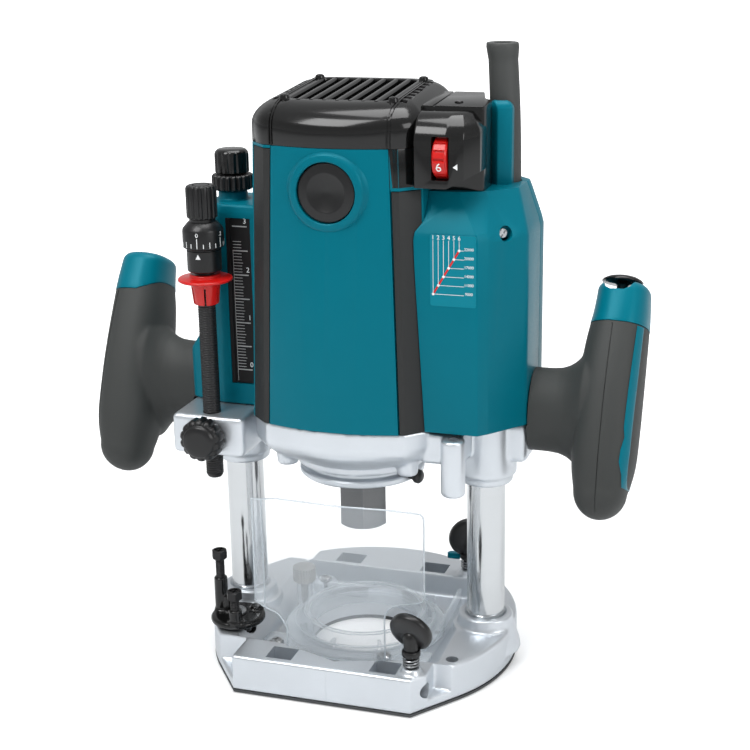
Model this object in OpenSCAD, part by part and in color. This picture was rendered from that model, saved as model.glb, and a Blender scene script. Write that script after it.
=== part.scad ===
// Plunge router: a motor head that slides on two columns above a flat base.
// Origin: collet axis at the sole. +X right, +Y away from the operator, +Z up.
// The head is drawn at the top of its stroke.

/* [Base] */
// Radius of the round part of the base
base_r = 83; // [78:0.5:88]
// Distance from the collet axis to the straight front edge
base_front = 74; // [70:0.5:78]
// Length of the straight front edge
front_edge_w = 96; // [80:1:110]
// Height of the base's top face above the surface
base_top = 21; // [18:0.5:24]
// Thickness of the sole under the base
sole_t = 2; // [1:0.5:3]
// Radius of the opening for the cutter
opening_r = 29; // [26:0.5:30]

/* [Columns] */
// Distance from the collet axis to each column's axis
column_x = 68; // [66:0.5:70]
// Radius of each guide column
column_r = 10; // [9:0.5:10]
// Height of the columns' top ends
column_top = 172; // [165:1:180]
// Stroke of the head down to the point where the stopper pole meets the stop screw
stroke = 42; // [30:1:42]

/* [Motor head] */
// Height of the bracket's top face, where the motor housing stands
bracket_top = 139; // [136:0.5:141]
// Height of the joint between the housing and its top cap
housing_top = 280; // [276:0.5:284]
// Height of the top cap's flat top
cap_top = 304; // [300:0.5:308]
// Half width of the housing at its foot
housing_half_w = 47; // [45:0.5:49]
// Wall thickness of the moulded casings
wall = 3; // [2:0.25:4]
// Height of the brush axis
brush_z = 259; // [255:0.5:262]

/* [Collet] */
// Width across flats of the collet nut
nut_af = 24; // [22:0.5:26]
// Radius of the collet's bore
collet_r = 6; // [4:0.25:6.5]
// Height of the collet nut's lower face
nut_low = 72; // [70:0.5:76]

/* [Depth stop] */
// Position of the stopper pole's axis, left to right
pole_x = -71; // [-73:0.5:-70]
// Position of the stopper pole's axis, front to back
pole_y = -33; // [-34:0.5:-32]
// Radius of the stopper pole
pole_r = 4.7; // [4:0.1:5]

/* [Handles] */
// Distance from the collet axis to the outermost point of each grip
grip_out = 147; // [144:0.5:150]
// Lean of the grips: how far the top is behind the bottom
grip_lean = 36; // [20:1:40]

/* [Hidden] */
$fn = 64;
RUN = 0.05;          // radial clearance of a running fit
HULL_FN = 32;        // roundness of the corners inside a hull
BIG = 400;           // larger than the whole object

// tangent point on the base circle, seen from the front edge's right end
edge_x = front_edge_w / 2;
edge_reach = sqrt(edge_x * edge_x + base_front * base_front);
tangent_turn = acos(base_r / edge_reach);
edge_turn = atan2(-base_front, edge_x);
tangent = base_r * [cos(edge_turn + tangent_turn), sin(edge_turn + tangent_turn)];

base_low = sole_t;
recess_low = 9;
collar_tab = recess_low + 3.5;
flange_top = collar_tab + 2;
pane_y = -52;
pane_t = 2;
pane_left = -38;      // where the pane's slanted left side begins
pane_right = 49;
pane_high = 101.5;
bar_front_y = -54;   // back face of the front bar
bar_rear_y = 50;     // front face of the rear bar
rod_y_front = -65;
rod_y_rear = 58;
rod_z = 12;
rod_bore_r = 4.1;
wing_front = [46, -65];
wing_rear = [43, 58];
wing_r = 3;
boss_h = 3;
collar_screw = [-41, 14];
sole_screw_places = [[-40, -66], [40, -64], [-40, 44], [40, 44]];
deflector_screw_places = [[-36, -42], [24, -42]];
lug_screw = [-38, 40];
clear_screw_places = concat(deflector_screw_places, [lug_screw]);

turret = [-60.5, -35.5];
turret_low = 15;
turret_top = 26;
post_ring_r = 10.8;
post_r = 3.6;
post_tops = [45, 33, 28];
post_turns = [166, 286, 46];
stop_screw_r = 2.5;
pivot_r = 3;

ring_r = 14.5;
ring_top = 28;
bush_r = 12.5;
boss_r = 16;
boss_low = 103;
head_low = 116;

shaft_r = 8;
nose_r = 33;
spring_r = 7.5;
limit_rod_r = 3.5;
spring_low = 23;
spring_high = 243;
shoulder_top = 247;

guard_x = 73.4;
guard_y = 15;
guard_r = 8;
guard_low = 251;
guard_top = 325;
inlet_r = 4.2;
inlet_deep = 20;

dial_y = -30.5;
dial_z = 276;
dial_r = 10.5;

pole_low = 103;
pole_top = 257;
knob_low = 214;
pointer_z = 209;

lever_z = 121;
shaft_lock_turn = -22;
bracket_screw_places = [[-39, -22], [39, -22], [-39, 24], [39, 24]];

setting_z = 128;
setting_y = -42;

grip_x = grip_out - 17;
grip_y = 4.5;
grip_z = 149;
rake = atan(grip_lean / 74);
cap_joint = 38;      // height of the joint below a grip's cap, along the grip
button_r = 4;
GRIP_FN = 28;        // roundness of the grips
neck_z = 141;
neck_y = 5;
neck_x = 92.2;
bolt_z = 128;

corner_r = 12;
crown = 5.5;               // how far the middle of the front stands ahead of its corners
foot_y = [-44, 45];
head_y = [-39.5, 40];
head_half_w = 43.7;
ring_face = [-47, 43];     // front faces of the brush rings, front and rear
ring_recess = 2.6;         // depth of the seat of a brush cap's disc
brush_end = 27.2;          // distance from the shaft's axis to a brush cap's inner end

// ---- helpers -------------------------------------------------------------

module toward_y() rotate([-90, 0, 0]) children();
module toward_x() rotate([0, 90, 0]) children();

module tube(r_out, r_in, h) {
    difference() {
        cylinder(r = r_out, h = h);
        translate([0, 0, -1]) cylinder(r = r_in, h = h + 2);
    }
}

// Upright body between four rounded corners, as [x, y] pairs, from z0 to z1.
module corner_posts(corners, r, z0, z1) {
    for (c = corners)
        translate([c[0], c[1], z0]) cylinder(r = r, h = z1 - z0, $fn = HULL_FN);
}

// Centres of the posts along a crowned front and a straight back, as [x, y] pairs.
function crowned(half_w, front, back) = concat(
    [for (t = [-1 : 0.5 : 1]) [half_w * t, front - crown * (1 - t * t)]],
    [for (side = [-1, 1]) [side * half_w, back]]);

// Everything in front of (side = -1) or behind (side = 1) the plane y = at.
module half_space_y(side, at) {
    translate([-BIG / 2, side > 0 ? at : at - BIG, -BIG / 2]) cube([BIG, BIG, 2 * BIG]);
}

// A ring of flutes cut from a knob's rim.
module flutes(count, ring_radius, r, h) {
    for (i = [0 : count - 1])
        rotate([0, 0, i * 360 / count]) translate([ring_radius, 0, -1]) cylinder(r = r, h = h + 2, $fn = 16);
}

// A ball-ended bar between two points.
module capsule(a, b, ra, rb) {
    hull() {
        translate(a) sphere(r = ra, $fn = HULL_FN);
        translate(b) sphere(r = rb, $fn = HULL_FN);
    }
}

// ---- base ------------------------------------------------------------------

module base_outline() {
    intersection() {
        circle(r = base_r, $fn = 128);
        translate([-BIG / 2, tangent[1]]) square(BIG);
    }
    polygon([[-edge_x, -base_front], [edge_x, -base_front], tangent, [-tangent[0], tangent[1]]]);
}

module base_windows() {
    for (w = [[-31, -70, 14, 12.5], [24.5, -70, 13.5, 12.5], [-36.5, 53.5, 15.5, 12.5], [15, 53.5, 15, 12.5]])
        translate([w[0], w[1], 6]) cube([w[2], w[3], base_top]);
}

module base_plate() {
    color("gainsboro") difference() {
        union() {
            translate([0, 0, base_low]) linear_extrude(base_top - base_low) base_outline();
            for (side = [-1, 1])
                translate([side * column_x, 0, base_low]) cylinder(r = ring_r, h = ring_top - base_low);
            for (w = [wing_front, wing_rear])
                translate([w[0], w[1], base_top - 1]) cylinder(r = 5, h = boss_h + 1);
        }
        // sunk floor between the two bars
        difference() {
            translate([-50, bar_front_y, recess_low]) cube([100, bar_rear_y - bar_front_y, BIG]);
            for (side = [-1, 1])
                translate([side * column_x, 0, 0]) cylinder(r = ring_r + 6, h = BIG);
        }
        translate([0, 0, -1]) cylinder(r = opening_r, h = BIG);
        base_windows();
        // notches at the corners that open the rod bores
        translate([54, -100, 7]) cube([16, 47.2, BIG]);
        translate([-100, -100, 7]) cube([51.5, 47.6, BIG]);
        translate([-100, 51.5, 7]) cube([49, 50, BIG]);
        // rod bores for a straight guide, front and rear
        for (y = [rod_y_front, rod_y_rear])
            translate([-100, y, rod_z]) toward_x() cylinder(r = rod_bore_r, h = 200);
        for (w = [wing_front, wing_rear])
            translate([w[0], w[1], rod_z]) cylinder(r = wing_r + RUN, h = BIG);
        // seats of the columns
        for (side = [-1, 1])
            translate([side * column_x, 0, 12]) cylinder(r = column_r, h = BIG);
        // turret seat and its pivot's hole
        translate([turret[0], turret[1], turret_low]) cylinder(r = 9, h = BIG);
        translate([turret[0], turret[1], 7]) cylinder(r = pivot_r, h = BIG);
        // screw holes
        translate([collar_screw[0], collar_screw[1], 4]) cylinder(r = 2 + RUN, h = BIG);
        for (p = sole_screw_places) translate([p[0], p[1], -1]) cylinder(r = 1.6, h = 8);
        for (p = clear_screw_places) translate([p[0], p[1], 3.5]) cylinder(r = 1.6, h = BIG);
        translate([62, -46, -1]) cylinder(r = 3.2, h = BIG);
        translate([40, 4, -1]) cylinder(r = 2, h = BIG);
    }
}

module sole_plate() {
    color("dimgray") difference() {
        linear_extrude(sole_t) base_outline();
        translate([0, 0, -1]) cylinder(r = opening_r, h = 10);
        for (p = sole_screw_places) {
            translate([p[0], p[1], -1]) cylinder(r = 1.7, h = 10);
            translate([p[0], p[1], -0.01]) cylinder(r1 = 3.4, r2 = 1.7, h = 1.5);
        }
        translate([62, -46, -1]) cylinder(r = 3.2, h = 10);
        translate([40, 4, -1]) cylinder(r = 2, h = 10);
    }
}

module base_screws() {
    color("silver") {
        for (p = sole_screw_places) {
            translate([p[0], p[1], 0.2]) cylinder(r1 = 3.1, r2 = 1.6, h = 1.3);
            translate([p[0], p[1], 1.4]) cylinder(r = 1.6, h = 5);
        }
        for (p = clear_screw_places) {
            translate([p[0], p[1], 4]) cylinder(r = 1.6, h = flange_top - 3.5);
            translate([p[0], p[1], flange_top]) cylinder(r = 3.8, h = 2.4);
        }
    }
}

module column(bore_low) {
    difference() {
        translate([0, 0, 12]) cylinder(r = column_r, h = column_top - 12);
        translate([0, 0, bore_low]) cylinder(r = spring_r + 0.5, h = BIG);
    }
}
module left_column() color("silver") translate([-column_x, 0, 0]) column(20);
module right_column() color("silver") translate([column_x, 0, 0]) column(spring_low);

module limit_rod() {
    color("gray") translate([-column_x, 0, 20]) {
        cylinder(r = limit_rod_r, h = 248);
        cylinder(r = spring_r + 0.5, h = spring_low - 20);
    }
}

module plunge_springs() {
    color("gray") {
        for (side = [-1, 1])
            translate([side * column_x, 0, spring_low]) tube(spring_r, limit_rod_r + 1.5, spring_high - spring_low);
    }
}

module dust_collar() {
    color([0.85, 0.9, 0.95, 0.4]) difference() {
        union() {
            translate([0, 0, recess_low]) cylinder(r = 44, h = 3.5);
            translate([0, 0, recess_low]) cylinder(r = 39, h = 7);
            translate([0, 0, recess_low]) cylinder(r = opening_r + 5, h = 12);
            translate([collar_screw[0], collar_screw[1], recess_low]) cylinder(r = 4.5, h = 16);
            translate([-46, pane_y, recess_low]) cube([92, 26, 3.5]);
            translate([lug_screw[0], lug_screw[1], recess_low]) cylinder(r = 7, h = flange_top - recess_low);
            for (turn = [20 : 40 : 340])
                rotate([0, 0, turn]) translate([opening_r + 4, -0.8, recess_low]) cube([6, 1.6, 9]);
        }
        translate([0, 0, -1]) cylinder(r = opening_r + 1, h = BIG);
        translate([collar_screw[0], collar_screw[1], -1]) cylinder(r = 2 + RUN, h = BIG);
        for (p = clear_screw_places) translate([p[0], p[1], -1]) cylinder(r = 1.7, h = BIG);
        for (side = [-1, 1]) translate([side * column_x, 0, 0]) cylinder(r = ring_r + 6.5, h = BIG);
    }
}

// Clear guard: a flat front pane with its left side slanted back.
module chip_deflector() {
    color([0.85, 0.9, 0.95, 0.3]) difference() {
        union() {
            translate([pane_left, pane_y, collar_tab]) cube([pane_right - pane_left, pane_t, pane_high - collar_tab]);
            translate([0, 0, collar_tab]) linear_extrude(pane_high - collar_tab)
                polygon([[pane_left, pane_y], [pane_left + 0.4, pane_y + pane_t],
                    [pane_left - 6.6, pane_y + pane_t + 2.2], [pane_left - 7, pane_y + 2.8]]);
            translate([-39, pane_y, collar_tab]) cube([65, 12.5, 2]);
        }
        // waist low down on both sides
        for (w = [[-60, -28, 31], [-60, -38, 39], [28, 60, 48]])
            translate([w[0], pane_y - 1, flange_top]) cube([w[1] - w[0], 20, w[2] - flange_top]);
        translate([-60, pane_y - 1, collar_tab - 1]) cube([20.5, 20, 10]);
        translate([26, pane_y - 1, collar_tab - 1]) cube([40, 20, 10]);
        for (p = deflector_screw_places) translate([p[0], p[1], -1]) cylinder(r = 1.7, h = 40);
    }
}

module turret_pivot() {
    color("silver") translate([turret[0], turret[1], 7]) {
        cylinder(r = pivot_r, h = turret_top - 7 + 2);
        translate([0, 0, turret_top - 7 + 0.3]) cylinder(r = 4.6, h = 2.4);
    }
}

module turret_post(i) {
    rotate([0, 0, post_turns[i]]) translate([post_ring_r, 0, 0]) children();
}

module stopper_turret() {
    color("#222222") translate([turret[0], turret[1], 0]) difference() {
        union() {
            translate([0, 0, turret_low + 0.3]) cylinder(r = 7.8, h = turret_top - turret_low - 0.3);
            translate([0, 0, turret_top - 4]) cylinder(r = 14.6, h = 4);
            for (i = [0 : 2])
                turret_post(i) translate([0, 0, turret_top - 2]) cylinder(r = post_r, h = post_tops[i] - turret_top + 2);
        }
        translate([0, 0, -1]) cylinder(r = pivot_r + RUN, h = BIG);
        for (i = [0, 1]) turret_post(i) translate([0, 0, turret_low]) cylinder(r = stop_screw_r + RUN, h = BIG);
    }
}

module stop_screw(i, low, high) {
    translate([turret[0], turret[1], 0]) turret_post(i) {
        translate([0, 0, low]) cylinder(r = stop_screw_r, h = high - low);
        difference() {
            translate([0, 0, high - 5]) cylinder(r = 4.4, h = 5, $fn = 6);
            translate([-0.6, -6, high - 1.2]) cube([1.2, 12, 3]);
            translate([-6, -0.6, high - 1.2]) cube([12, 1.2, 3]);
        }
    }
}
module tall_stop_screw() color("#333333") stop_screw(0, 30, pole_low - stroke - 0.5);
module short_stop_screw() color("#333333") stop_screw(1, 23, 44);

// Thumb screw with a coin-shaped wing that stands on its stem.
module wing_screw(place, turn, tilt, tail_z) {
    translate([place[0], place[1], 0]) {
        translate([0, 0, tail_z]) cylinder(r = wing_r, h = base_top + 12 - tail_z);
        translate([0, 0, base_top + 9.5]) cylinder(r = 4.8, h = 3);
        rotate([0, 0, turn]) translate([0, 0, base_top + 22.5])
            rotate([tilt, 0, 0]) translate([0, 0, -2.5]) cylinder(r = 11.3, h = 5);
        translate([0, 0, base_top + 11]) cylinder(r = 4, h = 8);
    }
}
module front_wing_screw() color("#222222") wing_screw(wing_front, -12, 112, rod_z + rod_bore_r + 0.4);
module rear_wing_screw() color("#222222") wing_screw(wing_rear, 30, 95, rod_z + rod_bore_r + 0.4);

module wing_springs() {
    color("silver") for (w = [wing_front, wing_rear])
        translate([w[0], w[1], base_top + boss_h]) tube(4.4, 3.3, 6.3);
}

module dust_collar_screw() {
    color("darkgray") translate([collar_screw[0], collar_screw[1], 0]) {
        translate([0, 0, 6]) cylinder(r = 2, h = 20);
        difference() {
            translate([0, 0, 25.4]) cylinder(r = 6.4, h = 9);
            translate([0, 0, 25.4]) flutes(16, 7.1, 1.1, 9);
        }
    }
}

module limit_nut() {
    color("#222222") translate([-column_x, 0, shoulder_top + 3.3]) difference() {
        cylinder(r = 10.8, h = 8);
        translate([0, 0, -1]) cylinder(r = limit_rod_r + RUN, h = 20);
        flutes(20, 11.9, 1.6, 8);
    }
}
module limit_knob() {
    color("#222222") translate([-column_x, 0, shoulder_top + 11.7]) difference() {
        union() {
            cylinder(r = 8.9, h = 11);
            translate([0, 0, 11]) cylinder(r1 = 8.9, r2 = 7.6, h = 1.3);
        }
        translate([0, 0, -1]) cylinder(r = limit_rod_r + RUN, h = 10.5);
        flutes(14, 9.9, 1.5, 12.3);
    }
}

// ---- motor bracket -----------------------------------------------------------

module bracket_cup() {
    hull() {
        corner_posts(crowned(34, foot_y[0] + corner_r, foot_y[1] - corner_r), corner_r, bracket_top - 8, bracket_top);
        translate([0, 0, head_low]) cylinder(r = 37, h = 2, $fn = 64);
    }
}

module motor_bracket() {
    color("gainsboro") difference() {
        union() {
            bracket_cup();
            translate([0, 0, head_low - 6]) cylinder(r = nose_r - 1, h = 10);
            for (side = [-1, 1]) {
                translate([side * column_x, 0, boss_low]) cylinder(r = 13.6, h = 6);
                translate([side * column_x, 0, boss_low + 4]) cylinder(r = boss_r, h = bracket_top - boss_low - 4);
                translate([side > 0 ? 30 : -column_x, -12, head_low + 4]) cube([38, 24, bracket_top - head_low - 4]);
            }
            // arm that carries the stopper pole
            translate([-90, setting_y, head_low + 2]) cube([39, 38, bracket_top - head_low - 2]);
            // boss that holds a fence or nozzle pin, with its web
            translate([60, -36, 107]) cylinder(r = 6.2, h = bracket_top - 107 - 2.5);
            translate([44, -34, head_low + 4]) cube([18, 24, bracket_top - head_low - 7]);
            // sockets for the two grips
            for (side = [-1, 1])
                translate([side * 76, neck_y, bolt_z]) rotate([0, side * 90, 0]) cylinder(r = 10.5, h = neck_x - 76);
        }
        // room for the fan and the shaft
        translate([0, 0, head_low + 8]) cylinder(r = 35, h = BIG);
        translate([0, 0, 0]) cylinder(r = 12, h = BIG);
        translate([0, 0, head_low - 6.01]) cylinder(r = 17.5, h = 14.02);
        for (side = [-1, 1]) translate([side * column_x, 0, 0]) cylinder(r = bush_r, h = BIG);
        translate([pole_x, pole_y, 0]) cylinder(r = pole_r + RUN, h = BIG);
        translate([pole_x, setting_y - 1, setting_z]) toward_y() cylinder(r = 3 + RUN, h = 8);
        translate([60, -36, 100]) cylinder(r = 2.5, h = BIG);
        for (side = [-1, 1])
            translate([side * 79, neck_y, bolt_z]) rotate([0, side * 90, 0]) cylinder(r = 4, h = 20);
        // lock lever and shaft lock
        translate([-column_x, 18, lever_z]) rotate([90, 0, 0]) cylinder(r = 3 + RUN, h = 6);
        for (p = bracket_screw_places) {
            translate([p[0], p[1], head_low - 1]) cylinder(r = 2, h = BIG);
            translate([p[0], p[1], head_low - 10]) cylinder(r = 4, h = 18);
        }
    }
}

module bearing_retainer() {
    color("silver") difference() {
        union() {
            translate([0, 0, boss_low]) cylinder(r = nose_r, h = 4);
            translate([0, 0, boss_low + 4]) cylinder(r = nose_r - 3, h = head_low - 6 - boss_low - 4);
        }
        translate([0, 0, boss_low - 1]) cylinder(r = 15, h = 20);
        rotate([0, 0, shaft_lock_turn]) translate([10, 0, boss_low + 3.5]) toward_x() cylinder(r = 2.5 + RUN, h = 40);
    }
}

module column_bushes() {
    color("#b08d57") for (side = [-1, 1])
        translate([side * column_x, 0, boss_low + 1]) tube(bush_r, column_r + RUN, bracket_top - boss_low - 2);
}

// ---- motor housing --------------------------------------------------------------

// Tapered, round-cornered body of the motor housing; inset makes its inside.
module housing_form(inset, z0, z1) {
    r = corner_r - inset;
    hull() {
        corner_posts(crowned(housing_half_w - corner_r, foot_y[0] + corner_r, foot_y[1] - corner_r),
            r, z0, z0 + 0.5);
        corner_posts(crowned(head_half_w - corner_r, head_y[0] + corner_r, head_y[1] - corner_r),
            r, z1 - 0.5, z1);
    }
}

module housing_shell() {
    difference() {
        housing_form(0, bracket_top, housing_top);
        housing_form(wall, bracket_top - 1, housing_top + 1);
    }
}

// Wedge that widens to the foot, as wide as the front panel.
module panel_zone() {
    translate([0, -20, 0]) rotate([90, 0, 0]) linear_extrude(60)
        polygon([[-34.5, bracket_top - 2], [34.5, bracket_top - 2], [30, housing_top + 2], [-30, housing_top + 2]]);
}

// Front corners, ahead of a plane that leans with the housing.
module strip_zone() {
    translate([-BIG / 2, 0, 0]) rotate([90, 0, 90]) linear_extrude(BIG)
        polygon([[-BIG, bracket_top - 2], [-37, bracket_top - 2], [-31.5, housing_top + 2], [-BIG, housing_top + 2]]);
}

// Raised ring with a recess, that a brush cap screws into.
module brush_ring(side) {
    face = side < 0 ? ring_face[0] : ring_face[1];
    difference() {
        translate([0, face, brush_z]) rotate([90 * side, 0, 0]) cylinder(r = 18.8, h = 6);
        brush_ring_hole(side);
    }
}
module brush_ring_hole(side) {
    face = side < 0 ? ring_face[0] : ring_face[1];
    translate([0, face - side * ring_recess, brush_z]) rotate([-90 * side, 0, 0]) cylinder(r = 15, h = 12);
    translate([0, face, brush_z]) rotate([90, 0, 0]) cylinder(r = 11.1, h = 30, center = true);
}

module front_panel() {
    color("teal") {
        difference() {
            intersection() {
                housing_shell();
                panel_zone();
            }
            brush_ring_hole(-1);
        }
        brush_ring(-1);
    }
}

module corner_strips() {
    color("#3a3c3d") difference() {
        intersection() {
            housing_shell();
            strip_zone();
        }
        panel_zone();
    }
}

module motor_housing() {
    color("teal") {
        difference() {
            housing_shell();
            strip_zone();
            panel_zone();
            brush_ring_hole(1);
        }
        brush_ring(1);
        // seat of the upper bearing on three ribs
        translate([0, 0, housing_top - 8]) tube(14, 11, 7);
        for (turn = [0, 180])
            rotate([0, 0, turn]) translate([13, -2, housing_top - 8]) cube([29, 4, 7]);
        translate([-2, 13, housing_top - 8]) cube([4, 25, 7]);
        // ribs that hold the field stator
        for (side = [-1, 1])
            translate([side > 0 ? 34 : -44, -3, 164]) cube([10, 6, 58]);
        translate([-3, 34, 164]) cube([6, 8, 58]);
        // bosses for the bracket's screws
        for (p = bracket_screw_places) translate([p[0], p[1], bracket_top]) difference() {
            cylinder(r = 5, h = 14);
            translate([0, 0, -1]) cylinder(r = 2, h = 20);
        }
    }
}

// Rounded cap in three storeys: skirt, shoulder and slotted top.
module cap_form(inset) {
    r = corner_r - inset;
    hull() {
        corner_posts(crowned(head_half_w - corner_r, head_y[0] + corner_r, head_y[1] - corner_r),
            r, housing_top, housing_top + 9);
        corner_posts(crowned(head_half_w - corner_r - 3, head_y[0] + corner_r + 2, head_y[1] - corner_r - 2),
            r, housing_top + 14, housing_top + 16);
        corner_posts(crowned(head_half_w - corner_r - 8, head_y[0] + corner_r + 5, head_y[1] - corner_r - 3),
            r - 2, cap_top - 3 - inset, cap_top - 1.5 - inset);
    }
}

module top_cap() {
    color("#222222") difference() {
        union() {
            cap_form(0);
            for (sx = [-1, 1], y = [-24, 26]) translate([sx * 28, y, cap_top - 6]) cylinder(r = 2, h = 6);
        }
        difference() {
            cap_form(2.5);
            translate([-BIG / 2, -BIG / 2, 0]) cube([BIG, BIG, housing_top]);
        }
        translate([0, 0, housing_top - 1]) hull() cap_opening();
        // long vent slots in three rows with ribs between
        for (i = [-3.5 : 1 : 3.5], y = [-25, -7, 12])
            translate([i * 6.6 - 1.7, y, cap_top - 9]) cube([3.4, 14.5, 20]);
    }
}
module cap_opening() {
    corner_posts([for (sx = [-1, 1], y = [-24, 26]) [sx * 30, y]], 9.5, 0, 8);
}

module brush_caps() {
    color("#222222") for (side = [-1, 1]) {
        disc_at = abs(side < 0 ? ring_face[0] : ring_face[1]) - ring_recess + 0.3;
        translate([0, side * disc_at, brush_z]) rotate([-90 * side, 0, 0]) difference() {
            union() {
                translate([0, 0, brush_end - disc_at]) cylinder(r = 11, h = disc_at - brush_end);
                cylinder(r = 14.4, h = 1.6);
            }
            translate([-7, -1.2, 0.8]) cube([14, 2.4, 3]);
        }
    }
}

module brush_gear() {
    color("goldenrod") for (side = [-1, 1])
        translate([0, side * 15.2, brush_z]) rotate([-90 * side, 0, 0]) difference() {
            translate([-5, -7, 0]) cube([10, 14, brush_end - 15.5]);
            translate([-3, -5, 5]) cube([6, 10, 6]);
        }
}

module field_stator() {
    color("slategray") translate([0, 0, 164]) difference() {
        cylinder(r = 34, h = 58);
        translate([0, 0, -1]) cylinder(r = 23, h = 60);
    }
}

module motor_bearings() {
    color("silver") {
        translate([0, 0, head_low - 6]) tube(17.5, shaft_r + RUN, 12);
        translate([0, 0, housing_top - 8]) tube(11, 5 + RUN, 7);
    }
}

// ---- rotor ------------------------------------------------------------------------

module armature_shaft() {
    color("silver") difference() {
        union() {
            translate([0, 0, 84]) cylinder(r = shaft_r, h = 70);
            translate([0, 0, 100]) cylinder(r = 11, h = 4);
            translate([0, 0, 104]) cylinder(r = 11.2, h = 5.8);
            translate([0, 0, 154]) cylinder(r = 6, h = 100);
            translate([0, 0, 254]) cylinder(r = 5, h = 24);
        }
        translate([0, 0, 83]) cylinder(r = 6.5, h = 20);
    }
}
module armature_core() {
    color("slategray") translate([0, 0, 166]) difference() {
        tube(22, 6, 54);
        for (i = [0 : 11]) rotate([0, 0, 30 * i]) translate([20, -1, -1]) cube([4, 2, 56]);
    }
}
module commutator() {
    color("#b87333") translate([0, 0, brush_z - 11]) difference() {
        cylinder(r = 15, h = 18);
        translate([0, 0, -1]) cylinder(r = 6, h = 7);
        translate([0, 0, 5.9]) cylinder(r = 5, h = 30);
        translate([0, 0, -1]) cylinder(r = 6, h = 7.01);
    }
}
module cooling_fan() {
    color("#222222") translate([0, 0, 130]) {
        tube(30, 8, 3);
        tube(11, 8, 14);
        for (i = [0 : 11]) rotate([0, 0, 30 * i]) translate([12, -0.8, 3]) cube([17, 1.6, 9]);
    }
}
module collet_cone() {
    color("gray") translate([0, 0, 76]) difference() {
        union() {
            cylinder(r = 8, h = 8);
            translate([0, 0, 8]) cylinder(r = 6.5, h = 16);
        }
        translate([0, 0, -1]) cylinder(r = collet_r, h = 30);
    }
}
module collet_nut() {
    color("gray") difference() {
        union() {
            translate([0, 0, nut_low]) rotate([0, 0, -72]) cylinder(r = nut_af / 2 / cos(30), h = 26, $fn = 6);
        }
        translate([0, 0, nut_low - 1]) cylinder(r = 7.5, h = 40);
        translate([0, 0, 75.9]) cylinder(r = 8 + RUN, h = 40);
    }
}

// ---- casings on the right and left ---------------------------------------------------

// Switch housing between the motor and the right grip.
module switch_form(inset) {
    r = 8 - inset;
    hull() {
        corner_posts([[50, -28], [68, -28], [84, -12], [84, 22], [70, 30], [50, 30]], r, bracket_top, 240 - inset / 2);
        corner_posts([[50, -16], [64, -14], [77, -3], [77, 22], [66, 28], [50, 28]], r, 257 - inset, 258 - inset);
    }
}

module switch_shell() {
    difference() {
        union() {
            switch_form(0);
            // half sleeve that steadies the cord guard
            translate([66, 1, 240]) cube([13, 13, 58]);
        }
        difference() {
            switch_form(wall);
            // seat of the right plunge spring
            translate([column_x, 0, spring_high + 0.2]) cylinder(r = spring_r, h = 40);
        }
        translate([0, 0, bracket_top - 1]) intersection() {
            translate([0, 0, 1 - bracket_top]) switch_form(wall);
            cylinder(r = BIG, h = 20);
        }
        housing_form(-0.1, bracket_top - 1, housing_top);
        translate([guard_x, guard_y, 240]) cylinder(r = guard_r + 0.3, h = BIG);
        translate([84, -24, 239]) rotate([0, -35, 0]) cylinder(r = 2, h = 10, center = true);
    }
}

module switch_housing() {
    color("teal") intersection() {
        switch_shell();
        half_space_y(-1, 14);
    }
}
module switch_cover() {
    color("teal") intersection() {
        switch_shell();
        half_space_y(1, 14);
    }
}

module dial_housing() {
    color("#222222") difference() {
        union() {
            hull() {
                translate([44, -38, 262]) cube([27, 20, 22]);
                translate([44, -34, 284]) cube([23, 16, 12.5]);
            }
            translate([44, -18, 258]) cube([27, 15, 40]);
            translate([44, -18, 258]) cube([19, 38, 40]);
        }
        translate([47, -14, 261]) cube([15, 31, 34]);
        translate([50.4, -60, dial_z - 11.3]) cube([8.2, dial_y + dial_r + 60.8, 22.6]);
        translate([40, dial_y, dial_z]) toward_x() cylinder(r = 2, h = 24);
        housing_form(-0.1, bracket_top, housing_top);
        cap_form(-0.1);
    }
}

module speed_dial() {
    color("red") translate([51, dial_y, dial_z]) toward_x() {
        difference() {
            cylinder(r = dial_r, h = 7);
            flutes(24, dial_r + 0.35, 0.9, 7);
        }
        translate([0, 0, -3]) cylinder(r = 2 - RUN, h = 14);
    }
}

module cord_guard() {
    color("#404242") difference() {
        union() {
            hull() {
                translate([guard_x, guard_y, guard_low]) cylinder(r = guard_r, h = 40, $fn = HULL_FN);
                translate([guard_x - 2, guard_y + 3, guard_top - 16]) cylinder(r = guard_r - 0.8, h = 2, $fn = HULL_FN);
            }
            hull() {
                translate([guard_x - 2, guard_y + 3, guard_top - 15]) cylinder(r = guard_r - 0.8, h = 2, $fn = HULL_FN);
                translate([guard_x - 3, guard_y + 4, guard_top - 4]) cylinder(r = guard_r + 0.8, h = 4, $fn = HULL_FN);
            }
        }
        // inlet for the cord
        translate([guard_x - 3, guard_y + 4, guard_top - inlet_deep]) cylinder(r = inlet_r, h = 40);
    }
}

module scale_form(inset) {
    r = 6 - inset;
    hull() {
        corner_posts([[-86, -8], [-65, -13], [-40, -13], [-40, 24], [-80, 24]], r, bracket_top, 205);
        corner_posts([[-75, -6], [-65, -12], [-40, -12], [-40, 14], [-75, 14]], r,
            shoulder_top - 2 - inset, shoulder_top - 1 - inset);
    }
}

module scale_housing() {
    color("teal") difference() {
        union() {
            scale_form(0);
            translate([-column_x, 0, shoulder_top - 10]) cylinder(r = 7.6, h = 13);
        }
        scale_form(wall);
        translate([0, 0, bracket_top - 1]) intersection() {
            translate([0, 0, 1 - bracket_top]) scale_form(wall);
            cylinder(r = BIG, h = 20);
        }
        housing_form(-0.1, bracket_top - 1, housing_top);
        translate([-column_x, 0, 200]) cylinder(r = limit_rod_r + 0.5, h = BIG);
        translate([-65, -30, 150]) cube([13.5, 12.6, 89]);
    }
}

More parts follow.
